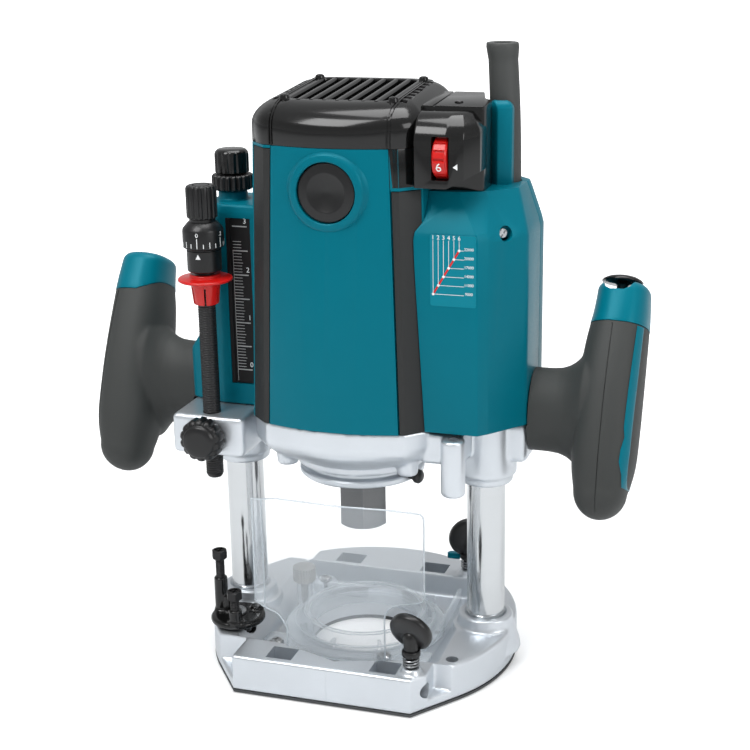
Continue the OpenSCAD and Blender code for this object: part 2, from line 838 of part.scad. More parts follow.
module depth_scale() {
    color("#222222") translate([-64.8, -18.2, 150.2]) cube([13.1, 0.8, 88.6]);
}

module speed_controller() {
    color("darkgreen") {
        translate([54, 17, 178]) cube([2, 12, 50]);
        translate([56, 17, 184]) cube([14, 11, 12]);
        translate([56, 18, 202]) cube([9, 9, 20]);
    }
}

// ---- handles ------------------------------------------------------------------------

// Local frame of the right grip: z runs up along the bar, y points to its back.
module in_grip() translate([grip_x, grip_y, grip_z]) rotate([-rake, 0, 0]) children();

// Swollen bar of a grip, hulled round five squashed balls: shift in x, height, half width, half depth, half height.
module grip_bar() {
    in_grip() hull()
        for (s = [[-2, -45, 12.5, 16, 14.5], [-1, -28, 15.5, 19.5, 14], [0, 0, 17, 21, 12],
            [1, 25, 15.2, 20, 12], [2, 48, 12, 16.5, 10]])
            translate([s[0], 0, s[1]]) scale([s[2], s[3], s[4]]) sphere(r = 1, $fn = GRIP_FN);
}

module grip_neck() {
    hull() {
        translate([neck_x, neck_y, neck_z]) scale([1, 0.85, 1]) toward_x() cylinder(r = 20, h = 4, $fn = GRIP_FN);
        translate([grip_x - 4, neck_y, neck_z]) scale([1, 1, 1.1]) sphere(r = 17, $fn = GRIP_FN);
    }
}

module grip_form() {
    difference() {
        union() {
            grip_bar();
            grip_neck();
        }
        // bore for the bolt that holds the grip to the bracket
        translate([80, neck_y, bolt_z]) toward_x() cylinder(r = 4.2, h = 40);
    }
}

// Region above the joint between a grip and its cap.
module cap_zone() {
    in_grip() translate([-30, -40, cap_joint]) cube([60, 80, 60]);
}

module grip_cap_form() {
    intersection() {
        grip_bar();
        cap_zone();
    }
}

module left_grip() {
    color("#454746") mirror([1, 0, 0]) difference() {
        grip_form();
        cap_zone();
    }
}
module left_grip_cap() color("teal") mirror([1, 0, 0]) grip_cap_form();

// Thin upright layer of the right grip that shows as a stripe down its side.
module stripe_zone() {
    translate([grip_x + 11.3, -60, grip_z - 60]) cube([3.2, 120, 120]);
}
module right_grip() {
    color("#454746") difference() {
        grip_form();
        cap_zone();
        stripe_zone();
        trigger_slot();
        in_grip() translate([1, 0, cap_joint - 5]) cylinder(r = button_r + 0.3, h = 20);
    }
}
module right_grip_cap() {
    color("teal") difference() {
        grip_cap_form();
        in_grip() translate([1, 0, 0]) cylinder(r = button_r + RUN, h = 80);
    }
}
module right_grip_stripe() {
    color("teal") difference() {
        intersection() {
            grip_bar();
            stripe_zone();
        }
        cap_zone();
    }
}

module handle_bolts() {
    color("silver") for (side = [-1, 1])
        translate([side * 82, neck_y, bolt_z]) rotate([0, side * 90, 0]) {
            cylinder(r = 4, h = 34);
            translate([0, 0, 34]) cylinder(r = 4.15, h = 3.5, $fn = 6);
        }
}

// Slot at the back of the right grip, with a pocket for the switch.
module trigger_slot() {
    in_grip() {
        translate([-5.5, 6, -4.5]) cube([11, 40, 33]);
        translate([-6.2, -12.2, -0.2]) cube([12.4, 18.4, 24.4]);
    }
}
module trigger() {
    color("#222222") in_grip() difference() {
        translate([-5, 11, -3]) cube([10, 14.5, 30]);
        // finger hollow
        translate([-10, 33.5, 12]) toward_x() cylinder(r = 13, h = 20);
    }
}
module power_switch() {
    color("#333333") in_grip() translate([-6, -12, 0]) cube([12, 17.5, 24]);
}

module lock_off_button() {
    color("#222222") in_grip() translate([1, 0, 0]) {
        translate([0, 0, cap_joint + 2]) cylinder(r = button_r, h = 24);
        translate([0, 0, 61.6]) cylinder(r = 10.5, h = 1.2);
        translate([0, 0, 62.8]) cylinder(r1 = 10.5, r2 = 6.5, h = 2.6);
    }
}

// ---- levers, stop and screws on the head ---------------------------------------------

module plunge_lock_lever() {
    color("#222222") translate([-column_x, 0, lever_z]) {
        translate([0, 23.5, 0]) rotate([90, 0, 0]) cylinder(r = 3, h = 10);
        translate([0, 24.5, 0]) rotate([90, 0, 0]) cylinder(r = 7, h = 7);
        hull() {
            translate([0, 24.5, 0]) rotate([90, 0, 0]) cylinder(r = 5, h = 6, $fn = HULL_FN);
            translate([-15, 26, 9]) rotate([90, 0, 0]) cylinder(r = 4, h = 6, $fn = HULL_FN);
        }
    }
}

module shaft_lock_button() {
    color("#222222") rotate([0, 0, shaft_lock_turn]) translate([0, 0, boss_low + 3.5]) toward_x() {
        translate([0, 0, 17]) cylinder(r = 2.5, h = 21);
        translate([0, 0, 36.5]) cylinder(r = 3.6, h = 3);
    }
}

module stopper_pole() {
    color("#333333") translate([pole_x, pole_y, 0]) {
        translate([0, 0, pole_low + 1.5]) cylinder(r = pole_r, h = pole_top - pole_low - 4);
        translate([0, 0, pole_low]) cylinder(r1 = pole_r - 1.5, r2 = pole_r, h = 1.5);
    }
}

module fine_adjust_knob() {
    color("#222222") translate([pole_x, pole_y, 0]) difference() {
        union() {
            translate([0, 0, knob_low]) cylinder(r = 8.7, h = 11);
            translate([0, 0, knob_low + 11]) cylinder(r1 = 8.7, r2 = 10.4, h = 1.6);
            translate([0, 0, knob_low + 12.6]) cylinder(r = 10.4, h = 10);
            translate([0, 0, knob_low + 22.6]) cylinder(r1 = 10.4, r2 = 7, h = 3);
            translate([0, 0, knob_low + 25.6]) cylinder(r = 6.6, h = 2);
            translate([0, 0, knob_low + 27.6]) cylinder(r = 7.8, h = pole_top + 1 - knob_low - 27.6);
        }
        translate([0, 0, knob_low - 1]) cylinder(r = pole_r + RUN, h = pole_top - knob_low);
        translate([0, 0, knob_low + 27.6]) flutes(16, 8.5, 1.1, 20);
    }
}

module depth_pointer() {
    color("red") translate([pole_x, pole_y, 0]) difference() {
        union() {
            translate([0, 0, pointer_z]) cylinder(r = 13.9, h = 1.6);
            translate([0, 0, pointer_z - 12]) cylinder(r1 = 6.4, r2 = 7.6, h = 12.1);
            translate([0, 0, pointer_z]) cylinder(r = 8, h = 3.6);
        }
        translate([0, 0, pointer_z - 20]) cylinder(r = pole_r + RUN, h = 40);
        for (turn = [0 : 60 : 300]) rotate([0, 0, turn]) translate([0, -0.5, pointer_z - 13]) cube([10, 1, 10]);
    }
}

module setting_nut() {
    color("#222222") translate([pole_x, setting_y - 0.4, setting_z]) rotate([90, 0, 0]) {
        translate([0, 0, -4]) cylinder(r = 3, h = 6);
        difference() {
            cylinder(r = 11.4, h = 9);
            flutes(14, 12.6, 2, 9);
        }
        translate([0, 0, 8.9]) cylinder(r1 = 8.4, r2 = 7, h = 2);
    }
}

module housing_screws() {
    color("silver") for (p = bracket_screw_places) {
        translate([p[0], p[1], head_low + 8]) cylinder(r = 2, h = 27);
        translate([p[0], p[1], head_low + 4.5]) cylinder(r = 3.6, h = 3.5);
    }
}

base_plate();
sole_plate();
left_column();
right_column();
limit_rod();
dust_collar();
chip_deflector();
base_screws();
wing_springs();
plunge_springs();
turret_pivot();
stopper_turret();
tall_stop_screw();
short_stop_screw();
front_wing_screw();
rear_wing_screw();
dust_collar_screw();
limit_nut();
limit_knob();
motor_bracket();
bearing_retainer();
column_bushes();
motor_housing();
front_panel();
corner_strips();
top_cap();
brush_caps();
brush_gear();
field_stator();
motor_bearings();
dial_housing();
cord_guard();
switch_housing();
switch_cover();
scale_housing();
depth_scale();
speed_controller();
power_switch();
left_grip();
left_grip_cap();
right_grip();
right_grip_cap();
right_grip_stripe();
handle_bolts();
housing_screws();
armature_shaft();
armature_core();
commutator();
cooling_fan();
collet_cone();
collet_nut();
speed_dial();
trigger();
lock_off_button();
plunge_lock_lever();
shaft_lock_button();
stopper_pole();
fine_adjust_knob();
depth_pointer();
setting_nut();
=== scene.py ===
"""Looks of a plunge router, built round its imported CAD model. Shapes are written in millimetres."""

import math

import bmesh
import bpy
from mathutils import Matrix, Vector


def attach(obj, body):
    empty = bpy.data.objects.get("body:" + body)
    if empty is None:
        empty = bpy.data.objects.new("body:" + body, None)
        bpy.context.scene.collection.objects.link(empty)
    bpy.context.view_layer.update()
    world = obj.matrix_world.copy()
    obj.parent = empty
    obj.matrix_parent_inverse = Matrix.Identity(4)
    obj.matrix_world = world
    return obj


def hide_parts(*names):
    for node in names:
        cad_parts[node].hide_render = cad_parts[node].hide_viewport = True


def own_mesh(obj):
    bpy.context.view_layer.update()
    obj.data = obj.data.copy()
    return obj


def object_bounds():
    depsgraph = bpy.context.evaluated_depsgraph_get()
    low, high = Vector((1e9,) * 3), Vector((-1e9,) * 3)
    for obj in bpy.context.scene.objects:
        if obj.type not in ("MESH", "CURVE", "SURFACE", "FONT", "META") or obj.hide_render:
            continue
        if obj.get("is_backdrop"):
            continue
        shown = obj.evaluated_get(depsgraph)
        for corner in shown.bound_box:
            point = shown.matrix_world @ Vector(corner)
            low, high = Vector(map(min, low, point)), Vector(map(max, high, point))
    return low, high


MM = 0.001
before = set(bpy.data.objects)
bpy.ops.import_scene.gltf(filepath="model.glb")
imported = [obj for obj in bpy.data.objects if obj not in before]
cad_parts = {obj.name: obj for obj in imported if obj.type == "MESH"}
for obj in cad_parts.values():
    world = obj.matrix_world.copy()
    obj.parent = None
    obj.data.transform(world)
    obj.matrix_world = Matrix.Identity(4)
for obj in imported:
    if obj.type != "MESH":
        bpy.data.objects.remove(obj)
cad_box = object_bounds()


# ---- meshes ---------------------------------------------------------------------------------

def from_data(name, verts, faces):
    """A closed mesh from points in millimetres."""
    mesh = bpy.data.meshes.new(name)
    mesh.from_pydata([Vector(v) * MM for v in verts], [], faces)
    piece = bpy.data.objects.new(name, mesh)
    bpy.context.scene.collection.objects.link(piece)
    work = bmesh.new()
    work.from_mesh(mesh)
    bmesh.ops.remove_doubles(work, verts=work.verts, dist=1e-7)
    bmesh.ops.recalc_face_normals(work, faces=work.faces)
    work.to_mesh(mesh)
    work.free()
    return piece


def loft(name, rings, wrap=False):
    """A solid through rings of equal point count; wrap joins the last ring to the first."""
    count = len(rings[0])
    verts = [p for ring in rings for p in ring]
    faces = []
    for k in range(len(rings) if wrap else len(rings) - 1):
        a, b = k * count, (k + 1) % len(rings) * count
        faces += [(a + i, a + (i + 1) % count, b + (i + 1) % count, b + i) for i in range(count)]
    if not wrap:
        faces.append(tuple(reversed(range(count))))
        faces.append(tuple(range((len(rings) - 1) * count, len(rings) * count)))
    return from_data(name, verts, faces)


def lathe(name, profile, at=(0, 0, 0), turn=None, steps=64, ripple=None):
    """A turned solid: profile is (radius, height) pairs from its lower axis point round to its upper one.
    ripple(angle, radius, height) may change the radius, for flutes. turn orients it, then it moves to at."""
    closed = profile[0][0] > 0
    rows = [[(r if ripple is None or r == 0 else ripple(2 * math.pi * i / steps, r, z), z,
              2 * math.pi * i / steps) for i in range(steps)] for r, z in profile]
    spin = (turn or Matrix.Identity(3)).to_3x3()
    rings = [[spin @ Vector((r * math.cos(a), r * math.sin(a), z)) + Vector(at) for r, z, a in row]
             for row in rows]
    return loft(name, rings, wrap=closed)


def rod(name, r, low, high, at=(0, 0, 0), turn=None, steps=32):
    """A plain round bar from low to high, most often the tool for a hole."""
    return lathe(name, [(0, low), (r, low), (r, high), (0, high)], at, turn, steps)


def disc(name, x, y, r, low, high, steps=48):
    return rod(name, r, low, high, (x, y, 0), steps=steps)


def box(name, low, high):
    """A block between two corners."""
    (a, b, c), (d, e, f) = low, high
    return loft(name, [[(a, b, c), (d, b, c), (d, e, c), (a, e, c)],
                       [(a, b, f), (d, b, f), (d, e, f), (a, e, f)]])


def prism(name, outline, z0, z1):
    """An upright solid with an (x, y) outline from z0 to z1."""
    return loft(name, [[(x, y, z) for x, y in outline] for z in (z0, z1)])


def moved(piece, matrix):
    """Places a piece: the matrix turns it and moves it, in millimetres."""
    place = matrix.copy()
    place.translation *= MM
    piece.data.transform(place)
    return piece


def turned(angle, axis):
    return Matrix.Rotation(math.radians(angle), 4, axis)


def shifted(x, y, z):
    return Matrix.Translation((x, y, z))


def baked(piece):
    """Applies the piece's modifiers to its mesh."""
    bpy.context.view_layer.update()
    seen = piece.evaluated_get(bpy.context.evaluated_depsgraph_get())
    mesh = bpy.data.meshes.new_from_object(seen)
    piece.modifiers.clear()
    piece.data = mesh
    return piece


def combined(piece, others, operation):
    for other in others:
        modifier = piece.modifiers.new("combine", "BOOLEAN")
        modifier.operation = operation
        modifier.solver = "EXACT"
        modifier.object = other
        baked(piece)
        bpy.data.objects.remove(other)
    return piece


def cut(piece, *tools):
    """The piece without the tools, which are used up."""
    return combined(piece, tools, "DIFFERENCE")


def fused(piece, *others):
    """The piece and the others as one solid."""
    return combined(piece, others, "UNION")


def together(name, parts):
    """One object that holds several separate solids."""
    work = bmesh.new()
    for part in parts:
        work.from_mesh(part.data)
    mesh = bpy.data.meshes.new(name)
    work.to_mesh(mesh)
    work.free()
    for part in parts:
        bpy.data.objects.remove(part)
    whole = bpy.data.objects.new(name, mesh)
    bpy.context.scene.collection.objects.link(whole)
    return whole


def eased(piece, width=0.5, steps=2, angle=32):
    """Rounds the piece's sharp edges by a small bevel."""
    modifier = piece.modifiers.new("ease", "BEVEL")
    modifier.width = width * MM
    modifier.segments = steps
    modifier.limit_method = "ANGLE"
    modifier.angle_limit = math.radians(angle)
    modifier.use_clamp_overlap = True
    modifier.miter_outer = "MITER_ARC"
    return baked(piece)


def melted(piece, voxel=1.0, passes=6):
    """Remeshes a piece and smooths it, so that its inner corners become cast fillets."""
    modifier = piece.modifiers.new("melt", "REMESH")
    modifier.mode = "VOXEL"
    modifier.voxel_size = voxel * MM
    smooth = piece.modifiers.new("smooth", "SMOOTH")
    smooth.iterations = passes
    smooth.factor = 0.5
    return baked(piece)


def shown(piece, body, finish, replaces=(), crease=35):
    """Finishes a piece: its shading, material and body, and the CAD nodes it stands for."""
    piece.data.materials.clear()
    piece.data.materials.append(finish)
    piece.data.shade_smooth()
    piece.data.set_sharp_from_angle(angle=math.radians(crease))
    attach(piece, body)
    if replaces:
        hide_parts(*replaces)
    return piece


def fillet(corners, steps=5):
    """Closed outline from (x, y, radius) corners, each replaced by an arc."""
    outline = []
    for i, (x, y, radius) in enumerate(corners):
        here = Vector((x, y))
        before = (Vector(corners[i - 1][:2]) - here).normalized()
        after = (Vector(corners[(i + 1) % len(corners)][:2]) - here).normalized()
        half = before.angle(after) / 2
        centre = here + (before + after).normalized() * (radius / math.sin(half))
        start = here + before * (radius / math.tan(half)) - centre
        end = here + after * (radius / math.tan(half)) - centre
        sweep = start.angle_signed(end, 0) if radius > 1e-6 else 0
        for k in range(steps + 1):
            turn = -sweep * k / steps
            outline.append((centre.x + start.x * math.cos(turn) - start.y * math.sin(turn),
                            centre.y + start.x * math.sin(turn) + start.y * math.cos(turn)))
    return outline


def circle(x, y, r, steps=48):
    return [(x + r * math.cos(2 * math.pi * i / steps), y + r * math.sin(2 * math.pi * i / steps))
            for i in range(steps)]


def blended(a, b, t):
    """The outline that lies the share t of the way from outline a to outline b."""
    return [tuple(p + (q - p) * t for p, q in zip(u, v)) for u, v in zip(a, b)]


def rounded_rect(x0, y0, x1, y1, r):
    """Corners of a rectangle, for fillet()."""
    return [(x0, y0, r), (x1, y0, r), (x1, y1, r), (x0, y1, r)]


def swept(name, path, radius, sides=10, squash=1.0):
    """A round bar along a path of points, with flat ends. radius may be a function of 0..1 along it."""
    points = [Vector(p) for p in path]
    size = radius if callable(radius) else (lambda t: radius)
    rings, side = [], None
    for i, p in enumerate(points):
        along = (points[min(i + 1, len(points) - 1)] - points[max(i - 1, 0)]).normalized()
        if side is None:
            side = along.orthogonal().normalized()
        side = (side - along * side.dot(along)).normalized()
        up = along.cross(side)
        r = size(i / (len(points) - 1))
        rings.append([p + (side * math.cos(2 * math.pi * k / sides)
                           + up * math.sin(2 * math.pi * k / sides) * squash) * r
                      for k in range(sides)])
    return loft(name, rings)


def digits(name, text, size, depth, matrix):
    """Raised generic digits, moved into place by a matrix in millimetres."""
    curve = bpy.data.curves.new(name, "FONT")
    curve.body = text
    curve.size = size * MM
    curve.extrude = depth * MM / 2
    curve.align_x = "CENTER"
    curve.align_y = "CENTER"
    curve.resolution_u = 3
    letter = bpy.data.objects.new(name, curve)
    bpy.context.scene.collection.objects.link(letter)
    bpy.context.view_layer.update()
    mesh = bpy.data.meshes.new_from_object(letter.evaluated_get(bpy.context.evaluated_depsgraph_get()))
    bpy.data.objects.remove(letter)
    piece = bpy.data.objects.new(name, mesh)
    bpy.context.scene.collection.objects.link(piece)
    return moved(piece, matrix)


# ---- materials ------------------------------------------------------------------------------

def srgb(r, g, b):
    """Linear colour from 0-255 display values."""
    return tuple(((c / 255 + 0.055) / 1.055) ** 2.4 if c > 10 else c / 255 / 12.92 for c in (r, g, b)) + (1,)


def material(name, colour, rough, metal=0.0, grain=0.4, bump=0.02, shade=0.1, wear=0.1, coat=0.0,
             brushed=None, specular=0.5, **sockets):
    """A surface with fine grain. grain is the size of its texture and bump its depth, both in mm; shade is
    how much its colour varies and wear how much its roughness does; brushed stretches it along x, y, z."""
    made = bpy.data.materials.new(name)
    made.use_nodes = True
    nodes, links = made.node_tree.nodes, made.node_tree.links
    shader = nodes["Principled BSDF"]
    shader.inputs["Metallic"].default_value = metal
    shader.inputs["Coat Weight"].default_value = coat
    shader.inputs["Specular IOR Level"].default_value = specular
    for socket, value in sockets.items():
        shader.inputs[socket.replace("_", " ")].default_value = value
    place = nodes.new("ShaderNodeTexCoord")
    source = place.outputs["Object"]
    if brushed:
        stretch = nodes.new("ShaderNodeMapping")
        stretch.inputs["Scale"].default_value = brushed
        links.new(source, stretch.inputs["Vector"])
        source = stretch.outputs["Vector"]

    def noise_of(size, detail):
        node = nodes.new("ShaderNodeTexNoise")
        node.inputs["Scale"].default_value = 1 / (size * MM)
        node.inputs["Detail"].default_value = detail
        links.new(source, node.inputs["Vector"])
        return node.outputs["Fac"]

    cloud, fine = noise_of(22, 3), noise_of(grain, 2)
    tint = nodes.new("ShaderNodeMix")
    tint.data_type = "RGBA"
    tint.inputs[6].default_value = tuple(c * (1 - shade) for c in colour[:3]) + (1,)
    tint.inputs[7].default_value = tuple(min(1, c * (1 + shade)) for c in colour[:3]) + (1,)
    links.new(cloud, tint.inputs["Factor"])
    links.new(tint.outputs[2], shader.inputs["Base Color"])
    gloss = nodes.new("ShaderNodeMapRange")
    gloss.inputs["To Min"].default_value = max(0.02, rough - wear)
    gloss.inputs["To Max"].default_value = rough + wear
    links.new(fine, gloss.inputs["Value"])
    links.new(gloss.outputs["Result"], shader.inputs["Roughness"])
    relief = nodes.new("ShaderNodeBump")
    relief.inputs["Strength"].default_value = 0.6
    relief.inputs["Distance"].default_value = bump * MM
    links.new(fine, relief.inputs["Height"])
    links.new(relief.outputs["Normal"], shader.inputs["Normal"])
    return made


def clear(name, colour, face, edge):
    """Thin clear plastic: face and edge are how solid it looks head on and side on."""
    made = material(name, colour, 0.08, grain=6, bump=0.01, shade=0.03, wear=0.03, coat=0.4)
    nodes, links = made.node_tree.nodes, made.node_tree.links
    rim = nodes.new("ShaderNodeLayerWeight")
    rim.inputs["Blend"].default_value = 0.35
    solid = nodes.new("ShaderNodeMapRange")
    solid.inputs["To Min"].default_value = face
    solid.inputs["To Max"].default_value = edge
    links.new(rim.outputs["Facing"], solid.inputs["Value"])
    links.new(solid.outputs["Result"], nodes["Principled BSDF"].inputs["Alpha"])
    return made


TEAL = material("teal", srgb(0, 102, 119), 0.34, grain=0.5, bump=0.03, shade=0.04, specular=0.3,
                Specular_Tint=(0.25, 0.85, 1, 1))
STRIP = material("strip", srgb(42, 43, 43), 0.5, specular=0.3, grain=0.35, bump=0.05, shade=0.06)
GLOSSY = material("glossy_black", srgb(14, 14, 14), 0.16, grain=0.6, bump=0.01, shade=0.1, coat=0.2,
                  wear=0.04, specular=0.35)
KNOB = material("knob_black", srgb(18, 18, 19), 0.34, grain=0.4, bump=0.03, shade=0.1, coat=0.1, specular=0.4)
GRIP = material("grip", srgb(54, 56, 55), 0.6, specular=0.35, grain=0.3, bump=0.06, shade=0.05)
CORD = material("cord_rubber", srgb(62, 64, 63), 0.55, grain=0.4, bump=0.04, shade=0.06)
SOLE = material("sole", srgb(62, 64, 66), 0.5, grain=0.5, bump=0.03)
RED = material("red", srgb(196, 20, 16), 0.32, specular=0.3, grain=0.5, bump=0.02, shade=0.05, coat=0.3)
GREY = material("grey_plastic", srgb(160, 160, 158), 0.5, grain=0.4, bump=0.03)
WHITE = material("white_ink", srgb(235, 238, 238), 0.5, grain=0.3, bump=0.01, shade=0.03)
CAST = material("cast_aluminium", srgb(214, 219, 224), 0.36, metal=0.85, grain=0.7, bump=0.05, shade=0.05)
STEEL = material("column_steel", srgb(205, 208, 210), 0.16, metal=1.0, grain=0.5, bump=0.004, shade=0.03,
                 wear=0.06, brushed=(1, 1, 6))
SCREW = material("screw_steel", srgb(190, 192, 194), 0.28, metal=1.0, grain=0.3, bump=0.01)
DARK = material("dark_steel", srgb(48, 48, 49), 0.38, metal=0.7, grain=0.25, bump=0.03)
SPRING = material("spring_steel", srgb(150, 152, 154), 0.3, metal=1.0, grain=0.3, bump=0.01)
COLLET = material("collet_steel", srgb(118, 119, 120), 0.36, metal=0.75, grain=0.3, bump=0.02,
                  brushed=(1, 1, 0.2))
BRONZE = material("bronze", srgb(176, 141, 87), 0.4, metal=1.0)
BRASS = material("brass", srgb(190, 160, 80), 0.35, metal=1.0)
COPPER = material("copper", srgb(184, 115, 51), 0.3, metal=1.0, brushed=(1, 1, 0.2))
IRON = material("laminations", srgb(90, 95, 102), 0.45, metal=0.9, grain=0.5, bump=0.1, brushed=(0.1, 0.1, 1))
GREEN = material("circuit", srgb(20, 90, 50), 0.4, grain=1.0, bump=0.02)
PLATE = material("scale_plate", srgb(26, 26, 27), 0.5, specular=0.2, grain=0.4, bump=0.02)
THREAD = material("thread_black", srgb(30, 30, 31), 0.42, specular=0.4, grain=0.3, bump=0.02)
LABEL = material("label", srgb(0, 122, 140), 0.4, specular=0.15, grain=0.4, bump=0.01, shade=0.03)
SCALE_INK = material("scale_ink", srgb(170, 172, 172), 0.5, grain=0.3, bump=0.01, shade=0.05)
CLEAR = clear("clear_plastic", srgb(226, 234, 240), 0.1, 0.6)
# Painted highlight: clear_rim is paler and more solid, for strips that stand in for the glint along clear
# edges.
RIM = clear("clear_rim", srgb(206, 215, 221), 0.55, 0.9)

# CAD nodes that keep their own shape: the parts inside, which the new pieces hide
CARRIED = {
    "limit_rod": DARK, "column_bushes": BRONZE, "brush_gear": BRASS, "field_stator": IRON,
    "motor_bearings": STEEL, "speed_controller": GREEN, "power_switch": STRIP, "handle_bolts": SCREW,
    "housing_screws": SCREW, "armature_shaft": STEEL, "armature_core": IRON, "commutator": COPPER,
    "cooling_fan": GLOSSY,
}
for node, finish in CARRIED.items():
    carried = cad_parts[node]
    carried.data.materials.clear()
    carried.data.materials.append(finish)


# ---- camera, floor and light ----------------------------------------------------------------

CAMERA_AT = (252.1, -730.3, 394.1)
CAMERA_ANGLES = (17.79, 17.26, -0.82)   # degrees to the right of the front, above level, and of roll


def set_camera():
    turn, drop, roll = (math.radians(angle) for angle in CAMERA_ANGLES)
    back = Vector((math.sin(turn) * math.cos(drop), -math.cos(turn) * math.cos(drop), math.sin(drop)))
    right = Vector((math.cos(turn), math.sin(turn), 0))
    up = back.cross(right)
    right, up = right * math.cos(roll) + up * math.sin(roll), up * math.cos(roll) - right * math.sin(roll)
    lens = bpy.data.cameras.new("camera")
    lens.lens = 74.03
    lens.sensor_width = 36
    lens.shift_x = -0.0241
    lens.clip_end = 100
    camera = bpy.data.objects.new("camera", lens)
    bpy.context.scene.collection.objects.link(camera)
    place = Matrix((right, up, back)).transposed().to_4x4()
    place.translation = Vector(CAMERA_AT) * MM
    camera.matrix_world = place
    bpy.context.scene.camera = camera


def light(name, at, size, power):
    """A soft square light, aimed at the middle of the router."""
    lamp = bpy.data.lights.new(name, "AREA")
    lamp.shape = "SQUARE"
    lamp.size = size
    lamp.energy = power
    holder = bpy.data.objects.new(name, lamp)
    bpy.context.scene.collection.objects.link(holder)
    holder.location = at
    holder.rotation_euler = (Vector(at) - Vector((0, 0, 0.15))).to_track_quat("Z", "Y").to_euler()


def set_stage():
    """A pale floor with a painted glow that fades to white away from the router, and a soft sky that the
    camera sees as white.
    """
    floor = box("floor", (-9000, -9000, -4), (9000, 9000, -0.2))
    paint = material("floor_paint", srgb(222, 223, 224), 0.9, grain=3, bump=0.01, shade=0.01, specular=0.1)
    nodes, links = paint.node_tree.nodes, paint.node_tree.links
    place, away = nodes.new("ShaderNodeTexCoord"), nodes.new("ShaderNodeVectorMath")
    away.operation = "LENGTH"
    links.new(place.outputs["Object"], away.inputs[0])
    # Painted glow: camera rays see the floor emit, weakly near the router and up to white far off.
    glow = nodes.new("ShaderNodeMapRange")
    for socket, value in (("From Min", 0.25), ("From Max", 1.4), ("To Min", 0.3), ("To Max", 1.1)):
        glow.inputs[socket].default_value = value
    links.new(away.outputs["Value"], glow.inputs["Value"])
    kind, only = nodes.new("ShaderNodeLightPath"), nodes.new("ShaderNodeMath")
    only.operation = "MULTIPLY"
    links.new(glow.outputs["Result"], only.inputs[0])
    links.new(kind.outputs["Is Camera Ray"], only.inputs[1])
    links.new(only.outputs["Value"], nodes["Principled BSDF"].inputs["Emission Strength"])
    nodes["Principled BSDF"].inputs["Emission Color"].default_value = (1, 1, 1, 1)
    floor.data.materials.append(paint)
    floor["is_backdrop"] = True
    world = bpy.data.worlds.new("studio")
    world.use_nodes = True
    nodes, links = world.node_tree.nodes, world.node_tree.links
    seen = nodes["Background"]
    seen.inputs["Color"].default_value = (1, 1, 1, 1)
    seen.inputs["Strength"].default_value = 1.05
    sky = nodes.new("ShaderNodeBackground")
    direction = nodes.new("ShaderNodeTexCoord")
    split = nodes.new("ShaderNodeSeparateXYZ")
    links.new(direction.outputs["Generated"], split.inputs["Vector"])
    ramp = nodes.new("ShaderNodeValToRGB")
    stops = [(0.0, 0.5), (0.5, 0.62), (0.58, 0.5), (0.72, 0.45), (1.0, 0.6)]
    while len(ramp.color_ramp.elements) < len(stops):
        ramp.color_ramp.elements.new(0.5)
    for element, (place, level) in zip(ramp.color_ramp.elements, stops):
        element.position = place
        element.color = (level * 0.98, level * 0.99, level, 1)
    raised = nodes.new("ShaderNodeMapRange")
    raised.inputs["From Min"].default_value = -1
    links.new(split.outputs["Z"], raised.inputs["Value"])
    links.new(raised.outputs["Result"], ramp.inputs["Fac"])
    links.new(ramp.outputs["Color"], sky.inputs["Color"])
    sky.inputs["Strength"].default_value = 1.0
    kind = nodes.new("ShaderNodeLightPath")
    choice = nodes.new("ShaderNodeMixShader")
    links.new(kind.outputs["Is Camera Ray"], choice.inputs["Fac"])
    links.new(sky.outputs["Background"], choice.inputs[1])
    links.new(seen.outputs["Background"], choice.inputs[2])
    links.new(choice.outputs["Shader"], nodes["World Output"].inputs["Surface"])
    bpy.context.scene.world = world
    light("key", (-0.6, -1.1, 1.9), 1.0, 26)
    light("fill", (1.6, -0.7, 0.9), 0.8, 8)
    light("top", (0.2, 0.2, 2.1), 1.4, 30)


set_camera()
set_stage()
bpy.context.scene.view_settings.view_transform = "Standard"

# ---- places that several pieces share -------------------------------------------------------

COLUMN_X, COLUMN_R = 68, 10
TURRET = (-60.5, -35.5)          # axis of the stop turret
POLE = (-71, -33)                # axis of the stopper pole


# ---- motor casings --------------------------------------------------------------------------

FOOT, SEAM = 139, 280            # heights of the casing's foot and of the joint below the cap
FOOT_SIZE = (47, -44, 45)        # half width, front and back at the foot
SEAM_SIZE = (43.7, -39.5, 40)
CROWN = 5.5
FACET = (12, 78, 90)             # angles of the wide facet on each front corner
ROUND = (0, 15, 30, 45, 60, 75, 90)
BRUSH_Z, FRONT_BRUSH_Y, REAR_BRUSH_Y = 259, -47, 43
PANEL_LOW, PANEL_HIGH = 34.5, 30  # half width of the front panel at the foot and at the cap
STRIP_LOW, STRIP_HIGH = -34.3, -30  # how far back the corner strips reach, likewise


def casing(half_w, front, back, bulge=CROWN, radius=12):
    """Outline of the motor casing: crowned front, faceted front corners, round rear corners."""
    cx, fy, by = half_w - radius, front + radius, back - radius

    def corner(side, y, up, angles):
        return [(side * (cx + radius * math.sin(math.radians(a))),
                 y + up * radius * math.cos(math.radians(a)))
                for a in angles]

    ahead = [(cx * t / 8, front - bulge * (1 - (t / 8) ** 2)) for t in range(-8, 9)]
    return (ahead + corner(1, fy, -1, FACET) + corner(1, by, 1, reversed(ROUND)) + corner(-1, by, 1, ROUND)
            + corner(-1, fy, -1, reversed(FACET)))


def casing_ring(z, inset=0):
    """The casing's section at height z, as it tapers from foot to cap."""
    share = (z - FOOT) / (SEAM - FOOT)
    half_w, front, back = (a + (b - a) * share for a, b in zip(FOOT_SIZE, SEAM_SIZE))
    return [(x, y, z) for x, y in casing(half_w - inset, front + inset, back - inset, radius=12 - inset)]


def casing_shell(name, inset=0, low=FOOT, high=SEAM, wall=3):
    """A hollow stretch of the casing."""
    outer = loft(name, [casing_ring(low, inset), casing_ring(high, inset)])
    return cut(outer, loft("core", [casing_ring(low - 5, inset + wall), casing_ring(high + 5, inset + wall)]))


